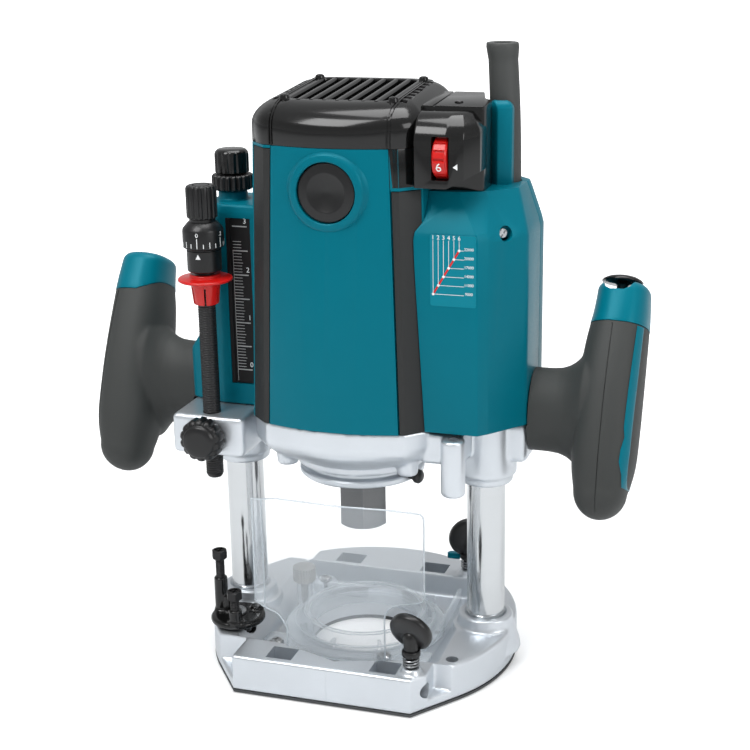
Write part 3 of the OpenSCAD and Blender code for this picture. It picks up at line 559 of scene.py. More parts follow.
def slab_y(name, outline, y0, y1):
    """Solid with an (x, z) outline from y0 to y1."""
    return loft(name, [[(x, y, z) for x, z in outline] for y in (y0, y1)])


def slab_x(name, outline, x0, x1):
    """Solid with a (y, z) outline from x0 to x1."""
    return loft(name, [[(x, y, z) for y, z in outline] for x in (x0, x1)])


def panel_wedge(gap, low=FOOT - 2, high=SEAM + 2):
    """Space of the front panel, narrowed by gap on each side."""
    outline = [(-PANEL_LOW + gap, low), (PANEL_LOW - gap, low), (PANEL_HIGH - gap, high),
               (-PANEL_HIGH + gap, high)]
    return slab_y("wedge", outline, -80, -20)


def corner_zone(side, low, high, gap=0.0):
    """Space of a corner strip: beside the panel and ahead of the facet's rear edge."""
    lean = (STRIP_HIGH - STRIP_LOW) / (SEAM - FOOT)
    edge = [(STRIP_LOW - gap + lean * (z - FOOT), z) for z in (low, high)]
    zone = slab_x("zone", [(-80, low), edge[0], edge[1], (-80, high)], side * 20, side * 70)
    return cut(zone, panel_wedge(-gap))


def brush_ring(side, face):
    """Raised ring round a brush cap, on the front (-1) or the rear (1)."""
    profile = [(15, -6), (15, -0.3), (15.4, 0), (17.6, -0.1), (18.6, -0.5), (19.3, -1.4), (19.8, -2.6),
               (21.2, -3.8), (21.2, -6)]
    return lathe("brush_ring", profile, (0, face, BRUSH_Z), turned(-90 * side, "X"), 72)


def brush_hole(side, face):
    return rod("hole", 15.2, -9, 20, (0, face, BRUSH_Z), turned(-90 * side, "X"), 72)


def make_casings():
    """The front panel, the motor casing, the corner strips and the brush caps."""
    gap = 0.35
    panel = combined(casing_shell("front_panel_moulding"), [panel_wedge(gap)], "INTERSECT")
    panel = eased(cut(panel, brush_hole(-1, FRONT_BRUSH_Y)), 0.6, 3)
    shown(together("front_panel_moulding", [panel, brush_ring(-1, FRONT_BRUSH_Y)]), "head", TEAL,
          ["front_panel"])

    shell = cut(casing_shell("motor_casing"), panel_wedge(0), corner_zone(-1, FOOT - 2, SEAM - 1.3),
                corner_zone(1, FOOT - 2, 260.2), corner_zone(1, 261.3, SEAM + 2), brush_hole(1, REAR_BRUSH_Y))
    shell = eased(shell, 0.4, 2)
    shown(together("motor_casing", [shell, brush_ring(1, REAR_BRUSH_Y)]), "head", TEAL, ["motor_housing"])

    strips = [combined(casing_shell("strip", 0.4), [corner_zone(-1, FOOT, SEAM - 1.7, gap)], "INTERSECT"),
              combined(casing_shell("strip", 0.4), [corner_zone(1, FOOT, 259.8, gap)], "INTERSECT")]
    shown(together("corner_strip_mouldings", [eased(s, 0.7, 3) for s in strips]), "head", STRIP,
          ["corner_strips"], crease=50)

    for side, face in ((-1, FRONT_BRUSH_Y), (1, REAR_BRUSH_Y)):
        profile = [(0, -1.9), (1.8, -1.9), (2.6, -1.5), (8.6, -1.5), (9.3, -0.9), (10.1, -0.8), (10.8, -1.1),
                (13.4, -0.9), (14.3, -1.3), (14.4, -2.8), (0, -2.8)]
        name = "front_brush_disc" if side < 0 else "rear_brush_disc"
        cap = lathe(name, profile, (0, face, BRUSH_Z), turned(-90 * side, "X"), 72)
        shown(cap, "head", KNOB, ["brush_caps"], crease=60)


# ---- top cap --------------------------------------------------------------------------------

CAP_ROUND = 289                  # where the skirt starts to curve in
CAP_TOP = 300.6                  # height of the top at its front edge
CAP_RISE = 0.08                  # how steeply the top climbs to the rear
SLOT_PITCH = 6.6


def cap_solid(name, inset=0.0, low=SEAM + 0.25):
    """The cap's outer form, drawn in by inset."""
    half_w, front, back = SEAM_SIZE
    rings = [[(x, y, low) for x, y in casing(half_w - inset, front + inset, back - inset)]]
    for k in range(10):
        turn = math.pi / 2 * k / 9
        side, lift = 13 * (1 - math.cos(turn)) + inset, math.sin(turn)
        outline = casing(half_w - side, front + side, back - side * 0.8, CROWN * (1 - 0.5 * lift))
        z = CAP_ROUND + (CAP_TOP - CAP_ROUND) * lift - inset
        rings.append([(x, y, z + CAP_RISE * (y + 28) * lift) for x, y in outline])
    return loft(name, rings)


def cap_top_at(y):
    return CAP_TOP + CAP_RISE * (y + 28)


def make_cap():
    """The vented cap: a shell with dents, a grille of bars and ribs, and four posts."""
    cap = cut(cap_solid("top_cap_moulding"), cap_solid("core", 2.4, SEAM - 3))
    opening = fillet(rounded_rect(-25.4, -25.5, 25.4, 26.5, 4), 4)
    cap = cut(cap, prism("opening", opening, 285, 320))
    dents = [box("dent", (side * 32.4 - 1.7, y - 1.7, cap_top_at(y) - 3.4), (side * 32.4 + 1.7, y + 1.7, 320))
             for side in (-1, 1) for y in (-22.5 + 6.4 * i for i in range(8))]
    cap = eased(cut(cap, together("dents", dents)), 0.35, 2, 40)

    moulding = combined(casing_shell("corner_moulding", 0.0, 259, SEAM + 0.2),
                        [corner_zone(1, 261.6, SEAM + 0.5, -0.2)], "INTERSECT")
    moulding = eased(moulding, 0.6, 3)

    ridges = cut(cap_solid("ridges", -0.4, SEAM + 0.4), cap_solid("core", 1.5, SEAM - 3))
    lines = [box("line", (x - 0.35, -80, 270), (x + 0.35, 80, 320)) for x in (-30.6, -29.2, 29.2, 30.6)]
    ridges = combined(ridges, [together("lines", lines)], "INTERSECT")

    bars = []
    for i in range(-4, 5):
        outline = fillet(rounded_rect(i * SLOT_PITCH - 1.65, -4.2, i * SLOT_PITCH + 1.65, 0.2, 1.3), 4)
        rings = [[(x, y, z + cap_top_at(y)) for x, z in outline] for y in (-27, 28)]
        bars.append(loft("bar", rings))
    for y in (-25.8, -8.5, 9.5, 26.8):
        bars.append(box("rib", (-26, y - 1.2, cap_top_at(y) - 5.4), (26, y + 1.2, cap_top_at(y) - 2)))
    posts = [lathe("post", [(0, -3), (2.7, -3), (2.5, 0.6), (2.1, 1.5), (1.2, 1.9), (0, 2)],
                   (side * 27.9, y, cap_top_at(y)), steps=20) for side in (-1, 1) for y in (-24.5, 26)]
    shown(together("top_cap_moulding", [cap, moulding, ridges] + bars + posts), "head", GLOSSY,
          ["top_cap"], crease=42)


# ---- dial housing, switch housing and cord guard -----------------------------------------------

def ring_at(corners, z, steps=4):
    """Filleted outline at height z, which may be a function of x and y."""
    return [(x, y, z if not callable(z) else z(x, y)) for x, y in fillet(corners, steps)]


DIAL = (51, -30.5, 276)          # middle of the speed wheel's left face
GUARD = (73.4, 15)               # axis of the cord guard at its foot


def make_dial_housing():
    """The block round the speed wheel's window and the flat case behind it."""
    def front_ring(z, back, side):
        return ring_at([(41.5, -38.6 + back, 1), (57.5, -38.6 + back, 2.5),
                        (65 - side * 0.5, -34.8 + back, 1.5), (71 - side, max(-26.5, -30 + back), 1.5),
                        (71 - side, -14, 0.4), (41.5, -14, 0.4)], z)

    def lower(x, y):
        return 261.9 + max(0, x - 57.5) * 0.5

    levels = [(lower, 0, 0), (284, 0, 0), (286.5, 0.5, 0), (289, 1.7, 0.4), (291.3, 3.6, 1.6),
              (293.4, 6, 3.2), (295, 8.6, 4.6), (296, 11.2, 5.4), (296.4, 13.6, 5.8)]
    block = loft("dial_block", [front_ring(*level) for level in levels])
    window = slab_y("window", fillet(rounded_rect(50.3, 265.8, 58.7, 286.4, 0.8), 3), -60, -20)
    block = eased(cut(block, window), 0.45, 3, 38)

    def plate(x, y):
        return 298.4 + 0.06 * (y + 18)

    rear = [(40, -18.2, 0.6), (70.6, -18.2, 1.4), (70.6, -2, 1), (66, 3, 1), (61.5, 19, 1), (40, 19, 0.6)]
    case = loft("case", [ring_at(rear, 258), ring_at(rear, plate)])
    groove = box("groove", (45.6, -40, 297.9), (46.4, 40, 310))
    case = eased(cut(case, groove, box("well", (47, -14, 261), (60, 16, 295))), 0.6, 3)
    screw = lathe("cap_screw", [(0, -0.6), (2.1, -0.6), (2.1, 0.5), (1.7, 0.8), (0, 0.8)],
                  (56, -9.5, plate(56, -9.5)), steps=24)
    shown(together("dial_housing_moulding", [block, case, screw]), "head", GLOSSY,
          ["dial_housing"], crease=40)

    along, out = Vector((0.892, 0.452, 0)), Vector((0.452, -0.892, 0))
    mark = slab_y("dial_mark", [(60.3, 272.1), (62.5, 270.7), (62.5, 273.6)], -0.12, 0.12)
    base = Vector((61.4, -36.62, 0))
    for vertex in mark.data.vertices:
        across = vertex.co.x / MM - base.x
        place = base + along * across + out * (0.1 - vertex.co.y / MM)
        vertex.co = Vector((place.x, place.y, vertex.co.z / MM)) * MM
    shown(mark, "head", WHITE)


def make_speed_dial():
    def grooved(angle, r, z):
        return r - (0.9 if math.cos(16 * angle) > 0.55 and 1 < z < 6 else 0)

    profile = [(0, 0), (9.6, 0), (10.4, 0.8), (10.4, 1.4), (10.4, 5.6), (10.4, 6.2), (9.6, 7), (0, 7)]
    wheel = lathe("speed_wheel", profile, DIAL, turned(90, "Y"), steps=192, ripple=grooved)
    shaft = rod("shaft", 1.95, -3, 10, DIAL, turned(90, "Y"), 24)
    patch = slab_y("patch", fillet(rounded_rect(51.5, -2.6, 57.5, 2.6, 0.6), 3), -0.6, 0.5)
    tilt = shifted(0, *DIAL[1:]) @ turned(20, "X") @ shifted(0, -10.2, 0)
    wheel = together("speed_wheel", [wheel, shaft, moved(patch, tilt)])
    shown(wheel, "speed_dial", RED, ["speed_dial"], crease=30)
    number = digits("dial_digit", "6", 6.2, 0.25, tilt @ shifted(54.5, -0.62, 0) @ turned(90, "X"))
    shown(number, "speed_dial", WHITE)


def make_switch_housing():
    """Two half shells of the switch side, the post in front of the cord guard and a screw."""
    body = [(40, -36, 1), (72.3, -36, 1.6), (76.8, -31.4, 3), (91.6, -12, 6), (91.8, 24, 7), (78, 37.6, 6),
            (40, 38, 1)]
    shoulder = [(40, -35, 1), (71.4, -34.8, 1.4), (75.6, -30, 3), (90.6, -11, 5.5), (91, 23, 6),
                (77, 36.6, 5), (40, 37, 1)]
    upper = [(40, -24, 1), (60.5, -23.5, 3), (73, -19, 3), (85.6, -4, 5), (86, 22, 5), (74, 34.6, 4),
             (40, 35.5, 1)]
    top = [(40, -22.5, 1), (60, -22, 2.5), (72, -17.6, 2.5), (84.4, -3.4, 4), (84.8, 21.2, 4),
           (73.4, 33.4, 3.5), (40, 34.5, 1)]
    levels = [(body, FOOT + 0.2), (body, 236), (shoulder, 240), (upper, 254.6), (top, 257.8)]
    outer = loft("switch_body", [ring_at(*level) for level in levels])
    inside = [(x - 2.6 * (x > 50), y - 2.6 * (1 if y > 0 else -1), r) for x, y, r in body]
    core = loft("core", [ring_at(inside, FOOT - 5), ring_at(inside, 236)])
    motor = loft("motor", [casing_ring(FOOT - 20, -0.15), casing_ring(SEAM, -0.15)])
    shell = cut(outer, core, motor, disc("hole", *GUARD, 8.3, 230, 270))
    facing = Matrix.Rotation(math.radians(90), 4, Vector((0.8, 0.62, 0)).normalized())
    shell = cut(shell, rod("well", 3.7, -6, 8, (83.4, -22.8, 238.5), facing))
    halves = []
    for node, name, low, high in (("switch_housing", "switch_front_shell", -90, 13.85),
                                  ("switch_cover", "switch_rear_shell", 14.1, 90)):
        half = combined(copy_of(shell, name), [box("zone", (20, low, 100), (120, high, 300))], "INTERSECT")
        halves.append((node, name, eased(half, 0.7, 3, 24)))
    bpy.data.objects.remove(shell)
    sleeve = [(65.8, 6.5, 0.8), (72.4, 1.2, 1.2), (79, 4.6, 1.6), (79, 13.8, 0.4), (65.8, 13.8, 0.4)]
    rings = [ring_at(sleeve, 250), ring_at(sleeve, 294.5)]
    for drop, draw in ((1.6, 0.5), (2.9, 1.6), (3.8, 3.2)):
        rings.append(ring_at([(x + (draw if x < 70 else -draw * 0.9), y + (draw * 0.6 if y < 10 else 0), r)
                              for x, y, r in sleeve], 294.5 + drop))
    post = eased(cut(loft("post", rings), disc("hole", *GUARD, 8.3, 240, 310)), 0.5, 3)
    for node, name, half in halves:
        parts = [half, post] if node == "switch_housing" else [half]
        shown(together(name, parts), "head", TEAL, [node], crease=28)
    plug = lathe("screw", [(0, 0), (2.4, 0), (2.4, 1.4), (1.9, 1.8), (0, 1.8)], (0, 0, 0), steps=24)
    plug = cut(plug, box("slot", (-3, -0.4, 1), (3, 0.4, 3)), box("slot", (-0.4, -3, 1), (0.4, 3, 3)))
    shown(moved(plug, shifted(80.2, -20.4, 238.5) @ facing), "head", SCREW).name = "switch_case_screw"


def copy_of(piece, name):
    made = bpy.data.objects.new(name, piece.data.copy())
    bpy.context.scene.collection.objects.link(made)
    return made


def make_cord_guard():
    """A bowed sleeve that narrows upward and ends in a lip."""
    count, rings = 36, []
    for i in range(count + 1):
        t = i / count
        bend = Vector((-1.4, 0.6, 0)) * math.sin(math.pi * t)
        middle = Vector((*GUARD, 251)) + Vector((-3, 4, 74)) * t - bend * 0.6
        r = 7.9 - 0.6 * t + max(0, (t - 0.9) / 0.1) ** 0.7 - (0.4 if i == count else 0)
        rings.append([(x, y, middle.z) for x, y in circle(middle.x, middle.y, r)])
    guard = loft("cord_guard_sleeve", rings)
    guard = cut(guard, prism("inlet", circle(70.4, 19, 4.2), 305, 340))
    shown(eased(guard, 0.5, 3, 40), "head", CORD, ["cord_guard"], crease=50)


make_casings()
make_cap()
make_dial_housing()
make_speed_dial()
make_switch_housing()
make_cord_guard()


# ---- grips ----------------------------------------------------------------------------------

RAKE = math.degrees(math.atan(36 / 74))
IN_GRIP = shifted(130, 4.5, 149) @ turned(-RAKE, "X")
# height along the bar, shift outward, half width, half depth at the front and at the back
BAR = [(-45, 0.5, 13.2, 17, 15), (-37, 0.7, 15, 19.5, 17), (-28, 0.8, 15.9, 21.5, 19),
       (-11, 0.8, 16.1, 23.5, 20.6), (5, 0.8, 16.1, 24, 21), (22, 1.2, 15.6, 23, 20.2),
       (35, 1.9, 14.8, 21.4, 18.8), (43, 2.5, 14, 20.2, 17.6), (52, 2.7, 13.3, 18.4, 16),
       (60.4, 2.6, 12.8, 16.6, 14.6)]
BAR_END, BAR_TOP, TOP_ROUND = 14.4, 60.4, 4.5


def along_bar(s):
    """Shift, half width and half depths of the bar at height s, eased between the stations of BAR."""
    s = min(max(s, BAR[0][0]), BAR[-1][0])
    k = max(i for i in range(len(BAR) - 1) if BAR[i][0] <= s)
    a, b = BAR[k], BAR[k + 1]
    p, q = BAR[max(k - 1, 0)], BAR[min(k + 2, len(BAR) - 1)]
    t = (s - a[0]) / (b[0] - a[0])
    values = []
    for i in range(1, 5):
        out = (b[i] - p[i]) / (b[0] - p[0]) * (b[0] - a[0])
        back = (q[i] - a[i]) / (q[0] - a[0]) * (b[0] - a[0])
        values.append((2 * t ** 3 - 3 * t ** 2 + 1) * a[i] + (t ** 3 - 2 * t ** 2 + t) * out
                      + (3 * t ** 2 - 2 * t ** 3) * b[i] + (t ** 3 - t ** 2) * back)
    return values


def bar_ring(s, inset=0.0, count=72):
    """Squarish oval section of the bar at height s, closing at the bottom end and rounding at the top."""
    shift, wide, front, back = along_bar(s)
    shrink, draw = 1.0, inset
    if s < BAR[0][0]:
        shrink = math.sqrt(max(0, 1 - ((BAR[0][0] - s) / BAR_END) ** 2))
    if s > BAR_TOP - TOP_ROUND:
        draw += TOP_ROUND * (1 - math.sqrt(max(0, 1 - ((s - BAR_TOP + TOP_ROUND) / TOP_ROUND) ** 2)))
    ring = []
    for i in range(count):
        a = 2 * math.pi * i / count
        c, d = math.cos(a), math.sin(a)
        deep = front if d < 0 else back
        ring.append((shift * shrink + (wide - draw) * shrink * math.copysign(abs(c) ** 0.8, c),
                     (deep - draw) * shrink * math.copysign(abs(d) ** 0.8, d), s))
    return ring


def bar_solid(name, inset=0.0):
    heights = [BAR[0][0] - BAR_END * math.sin(math.pi / 2 * (1 - k / 10)) for k in range(10)]
    heights += [-45 + 100 * k / 34 for k in range(35)]
    heights += [BAR_TOP - TOP_ROUND + TOP_ROUND * math.sin(math.pi / 2 * k / 6) for k in range(7)]
    return loft(name, [bar_ring(s, inset) for s in heights])


def neck_solid():
    """Oval neck that flares into the bar."""
    stations = [(83.5, 16.4, 21), (84.5, 17, 21.8), (100, 17, 21.8), (106, 17.2, 22.4), (110, 18, 24),
                (113.5, 19.4, 26.6), (116.5, 21, 30), (119, 22.4, 33.5), (124, 23, 36)]
    rings = []
    for x, deep, tall in stations:
        rings.append([(x, 5 + deep * math.cos(a), 142.4 + tall * math.sin(a))
                      for a in (2 * math.pi * i / 56 for i in range(56))])
    return loft("neck", rings)


def cap_zone(gap, inner_lift):
    """Space above the joint of a grip's cap; on the inner side the joint climbs by inner_lift."""
    low = 38 + gap
    edge = [(30, low - 1), (8, low), (-1, low + 0.2), (-6, low + inner_lift * 0.35),
            (-11, low + inner_lift * 0.85), (-16, low + inner_lift), (-30, low + inner_lift)]
    return slab_y("cap_zone", edge + [(-30, 90), (30, 90)], -40, 40)


def mirrored(piece):
    piece.data.transform(Matrix.Scale(-1, 4, (1, 0, 0)))
    piece.data.flip_normals()
    return piece


def seam_tool(x0, lean):
    """Thin layer just under the bar's front surface, for a moulding seam."""
    tool = slab_y("seam",
                  [(x0 - 0.25, -62), (x0 + 0.25, -62), (x0 + 0.25 + lean, 37), (x0 - 0.25 + lean, 37)],
                  -40, -4)
    return cut(tool, bar_solid("core", 0.55))


def make_grip(side, lift, seam_x, lean):
    """A raked grip with its neck and cap. lift and lean shape the cap's joint and the seam."""
    word = "right" if side > 0 else "left"
    body = fused(moved(bar_solid(word + "_grip_rubber"), IN_GRIP), neck_solid())
    body = melted(body, 0.85, 7)
    socket = box("socket", (60, -40, 90), (91.4, 50, FOOT - 0.4))
    parts = [moved(cap_zone(0, lift), IN_GRIP), socket, moved(seam_tool(seam_x, lean), IN_GRIP)]
    if side > 0:
        housing = [(40, -36.4, 1), (67.5, -36.4, 4), (81.2, -27, 5), (92.2, -13.2, 7), (92.2, 24.4, 7),
                   (78, 38, 6), (40, 38.4, 1)]
        parts += [prism("housing", fillet(housing, 4), FOOT - 0.5, 300),
                  moved(box("slot", (-5.4, 6, -4.4), (5.4, 40, 28.4)), IN_GRIP),
                  moved(rod("stem_hole", 4.3, 30, 60, (1, 0, 0)), IN_GRIP)]
    else:
        parts.append(box("housing", (40, -60, FOOT - 0.5), (87.5, 60, 300)))
    body = cut(body, *parts)
    crown = combined(bar_solid(word + "_grip_crown", -0.15), [cap_zone(0.35, lift)], "INTERSECT")
    if side > 0:
        dish = lathe("dish", [(0, 57), (9, 57.2), (11.2, 58.4), (11.8, 60), (11.8, 70), (0, 70)],
                     (1, 0, 0), steps=64)
        scoop = [(-7.6, 66), (-7.2, 60), (-5.4, 56.6), (-2.4, 55), (4.4, 55), (7.4, 56.6), (9.2, 60),
                 (9.6, 66)]
        crown = cut(crown, dish, slab_y("scoop", scoop, -30, -3), rod("hole", 4.1, 30, 70, (1, 0, 0)))
    crown = moved(eased(crown, 0.7, 3, 38), IN_GRIP)
    if side < 0:
        mirrored(body)
        mirrored(crown)
    shown(body, "head", GRIP, [word + "_grip"], crease=50)
    shown(crown, "head", TEAL, [word + "_grip_cap"], crease=50)


def make_stripe():
    outline = [(13.0, 37.2), (12.2, 6), (11.8, -14), (12.4, -19), (11.2, -25), (10.8, -31), (12.2, -37),
               (12.4, -43), (14.2, -43.5), (15.0, -26), (15.4, 6), (15.6, 37.2)]
    stripe = combined(bar_solid("right_grip_inlay", -0.25), [slab_y("band", outline, -40, 40)], "INTERSECT")
    stripe = cut(stripe, bar_solid("core", 1.2))
    shown(moved(stripe, IN_GRIP), "head", TEAL, ["right_grip_stripe"], crease=50)


def make_trigger():
    """The trigger in the right grip and the lock-off button on top of it."""
    arc = [(33.5 - 13 * math.cos(math.radians(a)), 12 + 13 * math.sin(math.radians(a)))
           for a in range(-48, 49, 8)]
    outline = [(11, -3), (25.2, -3)] + arc + [(25.2, 27), (11, 27)]
    lever = eased(slab_x("trigger_lever", outline, -5, 5), 1.0, 3)
    shown(moved(lever, IN_GRIP), "trigger", KNOB, ["trigger"])
    profile = [(0, 40), (2.9, 40), (2.9, 60), (3.6, 61), (9.2, 61.4), (10.4, 61.7), (10.6, 62.3), (9.8, 63.2),
               (7.6, 64.4), (4.4, 65.2), (0, 65.4)]
    button = lathe("lock_off_mushroom", profile, (1, 0, 0), steps=48)
    shown(moved(button, IN_GRIP), "lock_off_button", GLOSSY, ["lock_off_button"], 60)


# ---- motor bracket, nose and collet --------------------------------------------------------------

HEAD_PIN = (60, -36)             # axis of the pin boss beside the right column


def round_box(name, low, high, width=1.5):
    return eased(box(name, low, high), width, 3)


def make_bracket():
    """The cast bracket, the ring under its nose and the shaft lock's pin."""
    rim = casing(46.4, -43.4, 44.4, CROWN)
    nose_r = 37.5
    nose = [(nose_r * x / math.hypot(x, y), nose_r * y / math.hypot(x, y)) for x, y in rim]
    levels = [(138.8, 0), (130, 0), (127, 0.05), (124, 0.16), (121, 0.34), (118.4, 0.6), (116.6, 0.85),
              (115.4, 1)]
    body = loft("motor_bracket_casting", [[(x, y, z) for x, y in blended(rim, nose, t)] for z, t in levels])
    ring = [(0, 110.4), (34.4, 110.4), (35.2, 111), (35.2, 113.6), (34.4, 114.6), (34.4, 118), (0, 118)]
    parts = [lathe("ring", ring)]
    for side in (-1, 1):
        boss = [(0, 103.2), (13.4, 103.2), (14, 104), (14, 107.2), (15.9, 108.2), (15.9, 138.8), (0, 138.8)]
        parts.append(lathe("boss", boss, (side * COLUMN_X, 0, 0)))
        low_x, high_x = sorted((side * 30, side * 70))
        parts.append(round_box("bridge", (low_x, -13, 119.5), (high_x, 14, 138.8)))
        low_x, high_x = sorted((side * 70, side * 91.2))
        parts.append(round_box("socket", (low_x, -9, 116.5), (high_x, 19, 138.4), 3.5))
    parts.append(round_box("arm", (-90, -42, 117.6), (-50.5, -4, 138.8), 2))
    parts.append(round_box("arm_web", (-86, -8, 121), (-46, 14, 138.8), 2))
    parts.append(round_box("pin_web", (42, -33.4, 121), (64, -6, 137.6), 2))
    parts.append(lathe("pin_boss",
                       [(0, 107), (5.4, 107), (6.2, 107.8), (6.2, 135.8), (5.6, 136.6), (0, 136.6)],
                       (*HEAD_PIN, 0), steps=40))
    for x, y in ((-31, -29), (34, -29)):
        parts.append(lathe("screw_boss", [(0, 113), (5, 113), (5.4, 114), (6.4, 128), (0, 128)],
                           (x, y, 0), steps=32))
    body = melted(fused(body, *parts), 0.9, 5)
    tools = [disc("chamber", 0, 0, 35, 124, 150, 64),
             lathe("bore", [(0, 100), (17.5, 100), (17.5, 122), (12.5, 122.2), (12.5, 126), (0, 126)]),
             disc("pole_hole", *POLE, 4.8, 100, 150, 40),
             disc("pin_hole", *HEAD_PIN, 2.5, 128, 150, 32),
             rod("nut_hole", 3.2, -6, 8, (POLE[0], -42, 128), turned(90, "X")),
             rod("lever_hole", 3.3, -6, 8, (-COLUMN_X, 16, 121), turned(90, "X"))]
    tools += [disc("seat", side * COLUMN_X, 0, 12.5, 100, 150, 64) for side in (-1, 1)]
    tools += [disc("pocket", x, y, 4, 100, 124, 32) for x in (-39, 39) for y in (-22, 24)]
    shown(cut(body, *tools), "head", CAST, ["motor_bracket"], crease=40)

    profile = [(15, 103.6), (15.6, 103), (30.6, 103), (32.4, 103.2), (33.2, 104), (33.2, 106), (32.6, 106.8),
               (31.2, 107.2), (30.4, 107.8), (30.4, 110.2), (15, 110.2)]
    retainer = lathe("nose_ring", profile, steps=96)
    pin_way = turned(-22, "Z") @ turned(90, "Y")
    stem = rod("stem_hole", 2.6, 10, 50, (0, 0, 106.5), pin_way)
    shown(cut(retainer, stem), "head", CAST, ["bearing_retainer"])
    head = [(0, 17), (2.45, 17), (2.45, 36.4), (3.4, 36.6), (3.7, 37.2), (3.7, 38.8), (3.1, 39.5), (0, 39.5)]
    button = lathe("shaft_lock_pin", head, (0, 0, 106.5), pin_way, 32)
    shown(button, "shaft_lock", KNOB, ["shaft_lock_button"], crease=50)


def make_collet():
    """The hexagon nut and the slit sleeve that it closes."""
    nut = moved(prism("collet_nut_hex", circle(0, 0, 13.86, 6), 72, 98), turned(-72, "Z"))
    cone = [(0, 71), (11.6, 71.9), (12.2, 72.1), (14, 73.4), (14, 96.8), (12.6, 98.1), (0, 98.3)]
    nut = combined(nut, [lathe("cone", cone, steps=96)], "INTERSECT")
    bore = [(0, 70), (8.2, 70), (7.5, 72.8), (7.5, 75.9), (8.06, 75.95), (8.06, 110), (0, 110)]
    nut = eased(cut(nut, lathe("bore", bore, steps=64)), 0.25, 2, 25)
    shown(nut, "collet_nut", COLLET, ["collet_nut"], crease=25)
    cone = [(6, 76.4), (6.5, 76), (7.5, 76), (7.95, 76.6), (7.95, 84), (6.5, 84.2), (6.5, 100), (6, 100)]
    sleeve = lathe("collet_sleeve", cone, steps=64)
    slits = [moved(box("slit", (4, -0.4, 70), (10, 0.4, 94)), turned(90 * i, "Z")) for i in range(4)]
    shown(cut(sleeve, *slits), "rotor", COLLET, ["collet_cone"])


make_grip(1, 0.0, 0.6, 0.8)
make_grip(-1, 8.0, 13.0, -3.0)
make_stripe()
make_trigger()
make_bracket()
make_collet()


# ---- base -----------------------------------------------------------------------------------

BASE_R, FRONT_Y, EDGE_X, OPENING_R = 83, -74, 48, 29
FRONT_WING, REAR_WING, ROD_Z = (46, -65), (43, 58), 12
PEEP_HOLES = [(62, -46, 3.2, 48), (40, 4, 2, 32)]  # x, y, radius and steps of the holes beside the opening
COLLAR_SCREW, CLEAR_SCREWS = (-41, 14), [(-36, -42), (24, -42), (-38, 40)]
SOLE_SCREWS = [(-40, -66), (40, -64), (-40, 44), (40, 44)]


def base_outline(inset=0.0, count=110):
    """Round outline with a straight front edge and tangents to the circle, moved inward by inset."""
    reach = math.hypot(EDGE_X, FRONT_Y)
    low = math.atan2(FRONT_Y, EDGE_X) + math.acos(BASE_R / reach)
    arc = [low + (math.pi - 2 * low) * i / count for i in range(count + 1)]
    points = ([(BASE_R * math.cos(a), BASE_R * math.sin(a)) for a in arc]
              + [(-EDGE_X, FRONT_Y), (EDGE_X, FRONT_Y)])
    moved_in = []
    for i, (x, y) in enumerate(points):
        (ax, ay), (bx, by) = points[i - 1], points[(i + 1) % len(points)]
        before, after = Vector((x - ax, y - ay)).normalized(), Vector((bx - x, by - y)).normalized()
        normal = Vector((-(before.y + after.y), before.x + after.x)).normalized()
        share = inset / max(0.5, normal.dot(Vector((-before.y, before.x))))
        moved_in.append((x + normal.x * share, y + normal.y * share))
    return moved_in


